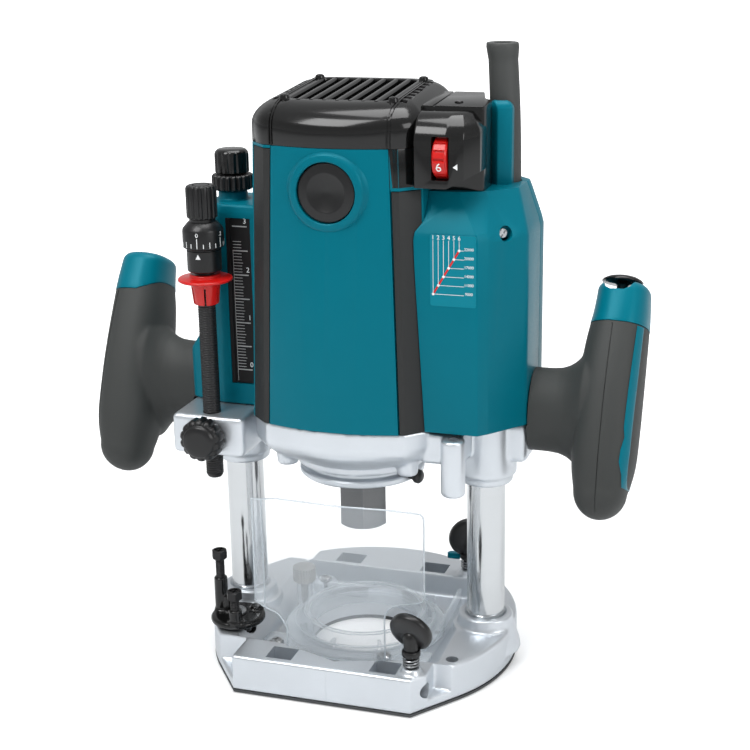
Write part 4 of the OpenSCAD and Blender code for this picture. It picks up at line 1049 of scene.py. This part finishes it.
def make_base():
    """The cast base: sunk floor, column sockets, windows, notches and every hole."""
    levels = [(2.05, 0.5), (2.6, 0), (19.6, 0.1), (20.6, 0.4), (21, 1.2)]
    body = loft("base_casting", [[(x, y, z) for x, y in base_outline(inset)] for z, inset in levels])
    floor = [(-45.5, 49), (-45.5, -50), (-28, -52), (-12, -57), (4, -62.5), (20, -58), (39, -53),
             (45.5, -50), (45.5, 49)]
    brow = [(-54, 51), (-55, -51), (-28, -53), (-12, -58), (4, -64), (20, -59), (39, -54), (56, -51),
            (55, 51)]
    sunk = loft("sunk", [[(x, y, z) for x, y in outline]
                         for z, outline in ((9, floor), (21, brow), (30, brow))])
    sunk = cut(sunk, *[disc("land", side * COLUMN_X, 0, 17.5, 0, 40) for side in (-1, 1)])
    body = cut(body, sunk, box("notch", (54, -100, 7), (70, -52.8, 40)),
               box("notch", (-100, -100, 7), (-48.5, -52.4, 40)),
               box("notch", (-100, 51.5, 7), (-51, 100, 40)),
               disc("turret_seat", *TURRET, 9, 15, 40))
    rings = [(0, 8), (19, 8), (18, 13), (15.6, 20.5), (14.7, 24), (14.5, 27.2), (13.6, 28), (0, 28)]
    parts = [lathe("column_ring", rings, (side * COLUMN_X, 0, 0)) for side in (-1, 1)]
    parts += [lathe("wing_boss", [(0, 18), (6, 18), (5.6, 21.5), (5, 22.6), (4.6, 24), (0, 24)],
                    (x, y, 0), steps=40)
              for x, y in (FRONT_WING, REAR_WING)]
    body = melted(fused(body, *parts), 0.8, 4)
    low = box("low", (-100, -100, -10), (100, 100, 2.02))
    windows = [(-31, -70, -17, -57.5), (25, -70, 39, -57.5), (-36.5, 53.5, -21, 66), (15, 53.5, 30, 66)]
    tools = [low, disc("opening", 0, 0, OPENING_R, 0, 40, 128)]
    tools += [box("window", (x0, y0, 6), (x1, y1, 40)) for x0, y0, x1, y1 in windows]
    tools += [rod("rod_bore", 4.1, -120, 120, (0, y, ROD_Z), turned(90, "Y"), 40)
              for _, y in (FRONT_WING, REAR_WING)]
    tools += [disc("wing_hole", x, y, 3.1, 12, 40, 32) for x, y in (FRONT_WING, REAR_WING)]
    tools += [disc("column_seat", side * COLUMN_X, 0, COLUMN_R + 0.02, 12, 40, 96) for side in (-1, 1)]
    tools += [lathe("seat_lip", [(0, 26.6), (COLUMN_R, 26.6), (COLUMN_R + 1.6, 28.2), (0, 28.2)],
                    (side * COLUMN_X, 0, 0)) for side in (-1, 1)]
    tools += [disc("pivot_hole", *TURRET, 3.02, 7, 40, 32)]
    tools += [disc("hole", x, y, r, -5, 40, steps) for x, y, r, steps in PEEP_HOLES]
    tools += [disc("screw_hole", *COLLAR_SCREW, 2.1, 4, 40, 32), box("seam", (3.2, -76, 1), (3.7, -73.8, 30))]
    tools += [disc("screw_hole", x, y, 1.65, 3.4, 40, 24) for x, y in CLEAR_SCREWS]
    tools += [disc("screw_hole", x, y, 1.65, 0, 8, 24) for x, y in SOLE_SCREWS]
    shown(cut(body, *tools), "base", CAST, ["base_plate"], crease=38)


def make_sole():
    levels = [(0, 0.9), (0.5, 0.15), (1, 0), (1.98, 0)]
    sole = loft("sole_sheet", [[(x, y, z) for x, y in base_outline(inset)] for z, inset in levels])
    tools = [disc("opening", 0, 0, OPENING_R, -5, 10, 128)]
    tools += [disc("hole", x, y, r, -5, 10, steps) for x, y, r, steps in PEEP_HOLES]
    tools += [lathe("sink", [(0, -1), (3.5, -1), (3.4, 0.1), (1.8, 1.5), (1.8, 5), (0, 5)],
                    (x, y, 0), steps=32)
              for x, y in SOLE_SCREWS]
    shown(cut(sole, *tools), "base", SOLE, ["sole_plate"])


def cross_head(name, x, y, profile, low, deep=0.8, reach=2.2):
    """Screw with a cross recess in its head."""
    head = lathe(name, profile, (x, y, 0), steps=32)
    bars = [box("bar", (x - reach, y - 0.4, low), (x + reach, y + 0.4, low + deep)),
            box("bar", (x - 0.4, y - reach, low), (x + 0.4, y + reach, low + deep))]
    return cut(head, *bars)


def make_base_screws():
    parts = [cross_head("screw", x, y,
                        [(0, 3.8), (1.5, 3.8), (1.5, 14.5), (3.8, 14.6), (3.8, 15.6), (3.1, 16.6),
                         (1.6, 16.9), (0, 16.95)], 16.1, 2)
             for x, y in CLEAR_SCREWS]
    parts += [cross_head("screw", x, y,
                         [(0, 0.2), (3, 0.2), (1.6, 1.5), (1.5, 6.4), (0, 6.4)], -0.4, 1.2, 1.7)
              for x, y in SOLE_SCREWS]
    shown(together("base_screw_set", parts), "base", SCREW, ["base_screws"])


def make_dust_collar():
    rim = [(30, 9.05), (43.2, 9.05), (44, 9.6), (44, 11.9), (43.4, 12.45), (39, 12.45), (38.8, 15.4),
           (38.2, 16), (36.6, 16), (36.4, 12.8), (34.2, 12.8), (33.8, 20.2), (33.2, 21), (31, 21),
           (30, 20.2)]
    body = cut(lathe("dust_ring", rim, steps=128),
               *[disc("land", side * COLUMN_X, 0, 21, 0, 40) for side in (-1, 1)])
    tab = prism("tab", fillet([(-46, -52, 3), (46, -52, 3), (46, -26, 2), (-46, -26, 2)], 4), 9.05, 12.45)
    tab = cut(tab, disc("opening", 0, 0, 43.6, 0, 40, 128))
    lug = lathe("lug", [(0, 9.05), (7, 9.05), (7, 13.7), (6.3, 14.45), (0, 14.45)], (-38, 40, 0), steps=48)
    post = lathe("post", [(0, 9.05), (4.5, 9.05), (4.5, 24.4), (3.9, 25), (0, 25)],
                 (*COLLAR_SCREW, 0), steps=48)
    ribs = [moved(round_box("rib", (34.3, -0.8, 9.2), (38.4, 0.8, 18), 0.3), turned(20 + 40 * i, "Z"))
            for i in range(9)]
    bars = [round_box("bar", (-34, 33, 9.2), (30, 35, 16), 0.4),
            moved(round_box("bar", (-1.1, -22, 9.2), (1.1, 24, 15.4), 0.4),
                  shifted(41.6, 24, 0) @ turned(2, "Z"))]
    bars = [cut(bar, disc("opening", 0, 0, 36.5, 0, 40, 96),
                *[disc("land", side * COLUMN_X, 0, 21, 0, 40) for side in (-1, 1)])
            for bar in bars]
    holes = ([disc("hole", *COLLAR_SCREW, 2.1, 0, 40, 32)]
             + [disc("hole", x, y, 1.7, 0, 40, 24) for x, y in CLEAR_SCREWS])
    body = cut(fused(body, lug, post, *ribs), *holes)
    tab = cut(tab, *[disc("hole", x, y, 1.7, 0, 40, 24) for x, y in CLEAR_SCREWS[:2]])
    # Painted highlight: thin pale rings on the collar's edges stand in for the glint those clear edges catch.
    rims = [lathe("rim", [(r - 0.4, z), (r, z - 0.35), (r + 0.4, z), (r, z + 0.35)], steps=128)
            for r, z in ((33.4, 20.7), (30.6, 20.7), (38.3, 15.7), (43.5, 12.2))]
    shown(together("dust_collar_rims", rims), "base", RIM)
    shown(together("dust_collar_moulding", [body, tab, *bars]), "base", CLEAR, ["dust_collar"])


PANE_Y = -52


def make_deflector():
    """Clear pane: a waist cut in its lower half, round corners, its left side folded back."""
    corners = [(-26.5, 14.6, 0.5), (27.6, 14.6, 0.5), (27.6, 38, 1), (28, 48.4, 9), (40, 51, 6),
               (48.9, 53.2, 3), (49, 101.2, 3.2), (30.3, 101.4, 8), (6.2, 100.6, 20), (-30, 101.4, 8),
               (-38, 100.2, 1), (-38, 39.3, 1), (-30.2, 36.6, 8), (-26, 29, 6)]
    front = slab_y("deflector_pane", fillet(corners, 6), PANE_Y, PANE_Y + 2)
    side = [(-38, 39.2, 0.5), (-37.8, 100.3, 0.5), (-44.8, 98.8, 1.5), (-44.8, 41, 2)]
    fold = eased(slab_y("fold", fillet(side, 4), 0, 2), 0.3, 2)
    for vertex in fold.data.vertices:
        back = (-38 * MM - vertex.co.x) * 0.48
        vertex.co.y += PANE_Y * MM + max(0, back)
    foot = eased(box("foot", (-38.6, PANE_Y, 12.5), (25.6, PANE_Y + 12.4, 14.4)), 0.5, 2)
    foot = cut(foot, *[disc("hole", x, y, 1.7, 0, 40, 24) for x, y in CLEAR_SCREWS[:2]])
    # Painted highlight: pale, more solid bars along the pane's edges stand in for the glint those edges
    # catch.
    edge = [(x, PANE_Y + 1, z) for x, z in fillet(corners, 6)]
    back = [(-38, PANE_Y + 1, 100), (-44.6, PANE_Y + 4.2, 98.6), (-44.6, PANE_Y + 4.2, 41.4),
            (-38, PANE_Y + 1, 39.4)]
    rims = [swept("rim", edge + edge[:2], 0.45, 8), swept("rim", back, 0.5, 8)]
    shown(together("deflector_rim", rims), "base", RIM)
    pane = together("deflector_guard", [eased(front, 0.35, 2), fold, foot])
    shown(pane, "base", CLEAR, ["chip_deflector"], crease=30)


def make_columns():
    for side, word, bore in ((-1, "left", 20), (1, "right", 23)):
        profile = [(0, 12), (9.2, 12), (10, 12.8), (10, 28.6), (9.75, 28.9), (9.75, 29.5), (10, 29.8),
                   (10, 171), (9.2, 172), (8, 172), (8, bore), (0, bore)]
        shown(lathe(word + "_guide_column", profile, (side * COLUMN_X, 0, 0), steps=96), "base", STEEL,
              [word + "_column"])


# ---- depth stop turret, screws and springs ---------------------------------------------------------

POSTS = [(166, 45), (286, 33), (46, 28)]  # each post's angle round the turret and its height


def thread(radius, deep, pitch, low, high, steps=5):
    """Ridged profile of a thread, from low to high, as (radius, height) pairs."""
    count = int((high - low) / pitch * steps)
    return [(radius - deep * (0.5 + 0.5 * math.cos(2 * math.pi * i / steps)), low + i * pitch / steps)
            for i in range(count + 1)]


def post_place(i):
    """Where post i stands on the turret."""
    turn = math.radians(POSTS[i][0])
    return TURRET[0] + 10.8 * math.cos(turn), TURRET[1] + 10.8 * math.sin(turn)


def stop_screw(name, i, low, high):
    x, y = post_place(i)
    stem = lathe(name, [(0, low), (2.0, low)] + thread(2.45, 0.3, 1.0, low + 0.5, high - 5.2)
                 + [(2.3, high - 5), (3.4, high - 4.9), (3.4, high - 4.4), (0, high - 4.4)], (x, y, 0),
                 steps=32)
    head = combined(prism("head", circle(x, y, 4.35, 6), high - 4.6, high), [
        lathe("cone", [(0, high - 5), (3.6, high - 4.7), (4.6, high - 3.9), (4.6, high - 0.8),
                       (3.7, high - 0.05), (0, high - 0.02)], (x, y, 0), steps=48)], "INTERSECT")
    head = cut(head, disc("dish", x, y, 2.6, high - 0.5, high + 1, 32),
               box("bar", (x - 3.2, y - 0.5, high - 1.4), (x + 3.2, y + 0.5, high + 1)),
               box("bar", (x - 0.5, y - 3.2, high - 1.4), (x + 0.5, y + 3.2, high + 1)))
    return together(name, [stem, head])


def make_turret():
    """The stop turret with three posts, its stop screws and its pivot."""
    disc_profile = [(0, 15.3), (7.4, 15.3), (7.8, 15.8), (7.8, 21.6), (12.8, 22), (14.1, 22.5), (14.6, 23.4),
                    (14.6, 24.8), (13.8, 25.8), (12.6, 26), (0, 26)]
    body = lathe("turret_disc", disc_profile, (*TURRET, 0), steps=96)
    parts = []
    for i, (_, top) in enumerate(POSTS):
        x, y = post_place(i)
        profile = [(0, 24), (4.4, 24), (4.1, 26.4), (3.6, 27.4), (3.6, top - 0.6), (3.1, top - 0.05),
                   (0, top)]
        parts.append(lathe("post", profile, (x, y, 0), steps=8 if i == 2 else 32))
        mid = (x * 0.55 + TURRET[0] * 0.45, y * 0.55 + TURRET[1] * 0.45)
        parts.append(lathe("web", [(0, 24), (3.4, 24), (3, top * 0.5 + 12.6), (0, top * 0.5 + 12.6)],
                           (*mid, 0), steps=6))
    body = melted(fused(body, *parts), 0.45, 3)
    tools = [disc("pivot", *TURRET, 3.1, 10, 60, 32), disc("pivot_pocket", *TURRET, 5, 26, 60, 40)]
    tools += [disc("thread_hole", *post_place(i), 2.5, 14, 60, 32) for i in (0, 1)]
    shown(cut(body, *tools), "turret", GLOSSY, ["stopper_turret"], crease=40)
    shown(stop_screw("tall_screw", 0, 30, 60.4), "tall_stop", DARK, ["tall_stop_screw"])
    shown(stop_screw("short_screw", 1, 23, 43.9), "short_stop", DARK, ["short_stop_screw"])
    pivot = cross_head("turret_pivot_screw", *TURRET,
                       [(0, 7), (3, 7), (3, 26.3), (4.6, 26.3), (4.6, 27.4), (3.8, 28.5), (0, 28.7)],
                       27.9, 2, 2.6)
    shown(pivot, "base", SCREW, ["turret_pivot"])


def coil(name, at, radius, low, high, turns, count, wire):
    """A coil spring whose wire's middle climbs from low to high, as one bent bar of count lengths."""
    path = []
    for i in range(count + 1):
        angle = 2 * math.pi * turns * i / count
        path.append((at[0] + radius * math.cos(angle), at[1] + radius * math.sin(angle),
                     low + (high - low) * i / count))
    return swept(name, path, wire, 8)


def make_plunge_springs():
    """The two long coil springs inside the columns, drawn at one length, though the real ones shorten as the
    head goes down.
    """
    low, high, stroke, wire = 23, 243, 42, 1.1
    for side, word in ((-1, "left"), (1, "right")):
        spring = coil(word + "_plunge_spring", (side * COLUMN_X, 0), 6.2, low + wire, high - wire,
                      27, 540, wire)
        shown(spring, "base", SPRING, ["plunge_springs"])
        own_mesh(spring)


def make_wing_screws():
    for (x, y), turn, tilt, word in ((FRONT_WING, -12, 112, "front"), (REAR_WING, 30, 95, "rear")):
        stem = ([(0, 16.6), (2.6, 16.6)] + thread(2.95, 0.3, 1.25, 17, 24)
                + [(2.9, 30.4), (4.4, 30.5), (4.8, 31), (4.8, 33), (4.4, 33.5), (3.6, 33.6), (3.8, 36),
                   (4.2, 40), (3.4, 43), (1.5, 44.4), (0, 44.6)])
        coin = [(0, -2.5), (9.8, -2.5), (10.9, -2.1), (11.3, -1.2), (11.3, 1), (10.6, 1.9), (8.6, 2.4),
                (5, 2.5), (0, 2.5)]
        place = shifted(x, y, 43.5) @ turned(turn, "Z") @ turned(tilt, "X")
        wing = moved(lathe("coin", coin, steps=72), place)
        body = fused(lathe(word + "_wing", stem, (x, y, 0), steps=40), wing)
        shown(body, word + "_wing", KNOB, [word + "_wing_screw"], crease=40)
        if word == "rear":
            lug = prism("rear_wing_lug",
                        fillet([(30, 56.6, 1), (44, 56.6, 1), (44, 61, 1), (32, 60, 1)], 4), 29.5, 32.8)
            shown(eased(cut(lug, disc("stem", x, y, 4.85, 20, 50)), 0.5, 2), "rear_wing", TEAL)
        spring = coil(word + "_wing_spring", (x, y), 3.85, 24.6, 29.8, 3.5, 90, 0.45)
        shown(spring, "base", SPRING, ["wing_springs"])

    def knurl(angle, r, z):
        return r - 0.35 * (0.5 + 0.5 * math.cos(24 * angle)) if 26.4 < z < 33.6 and r > 6 else r
    profile = [(0, 6), (2, 6), (2, 25.4), (5.6, 25.4), (6.4, 26.2), (6.4, 26.6), (6.4, 33.2), (6.2, 33.9),
               (5.4, 34.4), (0, 34.4)]
    screw = lathe("collar_thumb_screw", profile, (*COLLAR_SCREW, 0), steps=192, ripple=knurl)
    shown(screw, "collar_screw", GREY, ["dust_collar_screw"])


make_base()
make_sole()
make_base_screws()
make_dust_collar()
make_deflector()
make_columns()
make_turret()
make_plunge_springs()
make_wing_screws()


# ---- scale housing and depth stop -------------------------------------------------------------------

INCH = 25.4


def make_scale_housing():
    """The housing at the left, the scale's plate, its ticks and its digits."""
    low = [(-91.4, -13.2, 6), (-70, -18.9, 3), (-36, -18.9, 1), (-36, 29.4, 1), (-85, 29.4, 6),
           (-91.4, 18, 5)]
    mid = [(-86, -13.2, 6), (-69.6, -18.9, 3), (-36, -18.9, 1), (-36, 28.6, 1), (-82, 28.6, 6),
           (-86.6, 18, 5)]
    high = [(-80.6, -11.5, 6), (-69, -18.3, 3.4), (-36, -18.3, 1), (-36, 20, 1), (-78, 20, 6), (-80.6, 12, 5)]
    top = [(-78.6, -9.5, 6), (-68, -16.8, 3.4), (-36, -16.8, 1), (-36, 18, 1), (-76, 18, 6), (-78.6, 10, 5)]
    levels = [(low, FOOT + 0.2), (low, 160), (low, 166), (mid, 174), (mid, 232), (high, 241), (top, 245.2)]
    outer = loft("scale_shell", [ring_at(*level) for level in levels])
    boss = lathe("boss", [(0, 236), (9.4, 236), (7.8, 245), (7.6, 249.2), (7, 249.9), (0, 249.9)],
                 (-COLUMN_X, 0, 0))
    shell = melted(fused(outer, boss), 0.75, 3)
    flat = box("flat", (-120, -60, 100), (0, 60, FOOT + 0.25))
    inner = loft("inner", [[(x * 0.94 - 3.6, y * 0.82 + 1.2, z) for x, y, z in ring_at(mid, z)]
                           for z in (100, 226)])
    motor = loft("motor", [casing_ring(FOOT - 20, -0.2), casing_ring(SEAM, -0.2)])
    rod_hole = disc("rod_hole", -COLUMN_X, 0, 4, 200, 270, 40)
    slot = slab_x("slot", [(-30, 150), (-17.4, 150.6), (-17.4, 238.6), (-30, 239.4)], -65, -51.5)
    shell = cut(shell, flat, inner, motor, rod_hole, slot)
    shown(shell, "head", TEAL, ["scale_housing"], crease=34)

    plate = slab_y("scale_plate", [(-64.8, 150.8), (-51.7, 150.8), (-51.7, 238.4), (-64.8, 238.4)],
                   -18.1, -17.4)
    wall = slab_y("scale_wall", [(-64.9, 150.8), (-62.9, 150.8), (-62.6, 238.4), (-64.9, 238.4)],
                  -18.8, -17.4)
    plate = together("depth_scale_plate", [eased(plate, 0.15, 1), eased(wall, 0.15, 1)])
    shown(plate, "head", PLATE, ["depth_scale"])
    rule_x, ink, zero = -61.5, (-18.2, -18.05), 158.2
    marks = [box("rule", (rule_x - 0.2, ink[0], 152), (rule_x, ink[1], 222))]
    for k in range(49):
        z = zero + k * INCH / 16
        reach = 8 if k % 8 == 0 else 5.2 if k % 4 == 0 else 4.6
        thick = 0.16 if k % 8 else 0.3
        if k < 44 or k % 8 == 0:
            marks.append(box("tick", (rule_x, ink[0], z - thick), (rule_x + reach, ink[1], z + thick)))
    shown(together("scale_ticks", marks), "head", SCALE_INK)
    for k in range(4):
        place = shifted(-53.8 if k < 3 else -54.6, -18.15, zero + k * INCH + 2.7) @ turned(90, "X")
        shown(digits("scale_digit", str(k), 3.8, 0.12, place), "head", WHITE)


def make_stopper_pole():
    def helix(angle, r, z):
        ridge = 0.5 + 0.5 * math.cos(2 * math.pi * z / 1.3 - angle)
        return 4.68 - 0.42 * ridge if 4 < r and 105 < z < 213 else r
    heights = [105 + 0.26 * i for i in range(416)]
    profile = ([(0, 103), (3.4, 103), (4.2, 104), (4.3, 104.8)] + [(4.6, z) for z in heights]
               + [(4.5, 213.4), (4.5, 256.4), (0, 256.4)])
    pole = lathe("stopper_pole_thread", profile, (*POLE, 0), steps=24, ripple=helix)
    shown(pole, "pole", THREAD, ["stopper_pole"], crease=80)


def make_fine_knob():
    """The fluted knob on the pole, with its dial of marks and digits."""
    def fluted(angle, r, z):
        return r - 0.55 * max(0, math.cos(18 * angle)) ** 0.6 if z > 241.5 and 7 < r else r
    heights = [(7.2, 241.4), (7.7, 241.9), (7.8, 242.6), (7.8, 250), (7.8, 256.4), (7.4, 257.4)]
    profile = ([(0, 214.3), (8.3, 214.3), (8.7, 214.8), (8.7, 225), (8.3, 225.3), (8.3, 225.7), (9.2, 226),
                (10.4, 226.8), (10.4, 235.4), (10.1, 236.3), (7.4, 239.4), (6.6, 239.8), (6.6, 241)]
               + heights + [(6.4, 257.9), (0, 257.95)])
    knob = lathe("fine_knob_body", profile, (*POLE, 0), steps=180, ripple=fluted)
    ring = lathe("ring", [(3.8, 257.4), (4.4, 257.4), (4.4, 259), (3.8, 259)], (*POLE, 0), steps=48)
    knob = cut(knob, ring, disc("hole", *POLE, 4.76, 200, 256.9))
    shown(knob, "fine_knob", KNOB, ["fine_adjust_knob"], crease=30)
    marks = []
    for k in range(20):
        high = 232.4 if k % 4 == 0 else 230.4 if k % 2 == 0 else 229.6
        tick = box("tick", (-0.2, -10.48, 227.4), (0.2, -10.2, high))
        marks.append(moved(tick, shifted(*POLE, 0) @ turned(6 + 18 * k, "Z")))
    for k, text in enumerate(("0", ".2", ".4", ".6", ".8")):
        place = shifted(*POLE, 0) @ turned(6 + 72 * k, "Z") @ shifted(0, -10.36, 234) @ turned(90, "X")
        marks.append(digits("number", text, 3.0, 0.12, place))
    shown(together("fine_knob_marks", marks), "fine_knob", WHITE)
    arrow = slab_y("fine_arrow", [(-1.3, 221.6), (1.3, 221.6), (0, 224.2)], -8.8, -8.6)
    shown(moved(arrow, shifted(*POLE, 0) @ turned(4, "Z")), "fine_knob", WHITE)


def make_pointer():
    profile = [(4.77, 197.4), (5, 197), (6.1, 197), (6.5, 197.5), (7.6, 207.8), (8.6, 208.9), (13.3, 209),
               (13.9, 209.4), (13.9, 210.1), (13.4, 210.6), (8.6, 210.8), (8, 211.2), (8, 212.2),
               (7.6, 212.6), (4.77, 212.6)]
    collar = lathe("pointer_flange", profile, (*POLE, 0), steps=96)
    slots = [moved(box("slot", (-0.5, 4, 190), (0.5, 12, 206)), shifted(*POLE, 0) @ turned(20 + 60 * i, "Z"))
             for i in range(6)]
    shown(eased(cut(collar, *slots), 0.15, 2, 40), "pointer", RED, ["depth_pointer"], crease=35)


def make_setting_nut():
    def scallops(angle, r, z):
        return r - 0.9 * abs(math.cos(7 * angle)) ** 6 if r > 9.5 and -0.1 < z < 9.1 else r
    profile = [(0, -4), (3, -4), (3, 0), (10.2, 0), (11, 0.5), (11.4, 1.4), (11.4, 4), (11.4, 6.4),
               (11, 7.6), (10, 8.8), (8.9, 9), (8.6, 9.2), (8.3, 10), (7.6, 10.6), (5, 10.85), (0, 10.9)]
    place = shifted(POLE[0], -42.4, 128) @ turned(90, "X")
    nut = lathe("setting_nut_body", profile, steps=168, ripple=scallops)
    dimples = [lathe("dimple", [(0, 8.5), (0.55, 8.5), (0.7, 9.4), (0, 9.4)], (x, y, 0), steps=10)
               for x, y in circle(0, 0, 9.6, 14)]
    shown(moved(cut(nut, *dimples), place), "setting_nut", KNOB, ["setting_nut"], crease=40)


def make_limit_parts():
    def lobes(count, deep, low, high):
        def fluted(angle, r, z):
            groove = deep * (0.5 + 0.5 * math.cos(count * angle)) ** 3
            return r - groove if low < z < high and r > 7 else r
        return fluted

    profile = [(3.56, 250.3), (10, 250.3), (10.8, 251), (10.8, 252.4), (10.8, 256.2), (10.7, 257.3),
               (10, 258), (8.6, 258.3), (3.56, 258.3)]
    nut = lathe("limit_nut_body", profile, (-COLUMN_X, 0, 0), steps=200, ripple=lobes(20, 0.9, 250.1, 258.1))
    shown(nut, "limit_nut", KNOB, ["limit_nut"], crease=40)
    profile = [(0, 258.8), (8.2, 258.8), (8.9, 259.4), (8.9, 261), (8.9, 268.2), (8.5, 269.6), (7.6, 270.6),
               (6.8, 271), (0, 271)]
    knob = lathe("limit_knob_body", profile, (-COLUMN_X, 0, 0), steps=168, ripple=lobes(14, 0.6, 258.7, 269))
    hole = disc("hole", -COLUMN_X, 0, 3.58, 250, 268.3, 32)
    shown(cut(knob, hole), "limit_knob", GLOSSY, ["limit_knob"], 40)


def make_levers():
    hub = lathe("hub", [(0, -0.2), (2.9, -0.2), (2.9, 4), (7, 4.2), (7, 10.4), (6.2, 11), (0, 11)], steps=48)
    hub = moved(hub, shifted(-COLUMN_X, 13.6, 121) @ turned(-90, "X"))
    path = [(-COLUMN_X - 1 - 14 * t, 21.6 + 1.4 * t, 121 + 9 * t) for t in (i / 10 for i in range(11))]
    arm = swept("arm", path, lambda t: 4.9 - 1.1 * t, 24, 0.6)
    tip = moved(lathe("tip", [(0, -2.8), (3.4, -2.6), (4, -1.6), (4, 1.6), (3.4, 2.6), (0, 2.8)], steps=32),
                shifted(-COLUMN_X - 15, 23, 130) @ turned(90, "X"))
    shown(melted(fused(hub, arm, tip), 0.4, 3), "lock_lever", KNOB, ["plunge_lock_lever"], crease=45)


def make_label():
    """Speed table on the switch housing: a rounded patch, six numbered columns and six rows."""
    front = -36.0
    patch = slab_y("speed_label", fillet(rounded_rect(48.8, 204.4, 71.6, 239.4, 1), 4),
                   front - 0.12, front + 0.6)
    shown(patch, "head", LABEL)
    ink, marks = front - 0.22, []
    first_x, first_z, step_x, step_z = 50.3, 210.3, 2.6, 4.38
    for k, speed in enumerate(("9000", "11000", "14000", "17000", "20000", "22000")):
        x, z = first_x + step_x * k, first_z + step_z * k
        marks.append(box("column", (x - 0.1, ink, z), (x + 0.1, front, 236.8)))
        marks.append(box("row", (x, ink, z - 0.1), (65.6, front, z + 0.1)))
        marks.append(slab_y("dot", circle(x, z, 0.66, 20), ink - 0.06, front))
        marks.append(digits("number", str(k + 1), 2.9, 0.12,
                            shifted(x, front - 0.16, 238.1) @ turned(90, "X")))
        marks.append(digits("number", speed, 1.9, 0.12,
                            shifted(68.1, front - 0.16, z + 0.7) @ turned(90, "X")))
    last_x, last_z, half = first_x + step_x * 5, first_z + step_z * 5, 0.4
    rise = half * step_x / step_z
    line = [(first_x - half, first_z + rise), (first_x + half, first_z - rise),
            (last_x + half, last_z - rise), (last_x - half, last_z + rise)]
    shown(together("speed_table", marks), "head", WHITE)
    shown(slab_y("speed_line", line, ink + 0.02, front), "head", RED)


make_scale_housing()
make_stopper_pole()
make_fine_knob()
make_pointer()
make_setting_nut()
make_limit_parts()
make_levers()
make_label()


# ---- hand over ------------------------------------------------------------------------------

def corners(bounds):
    return [list(map(float, corner)) for corner in bounds]


{"cad": corners(cad_box), "visual": corners(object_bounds())}
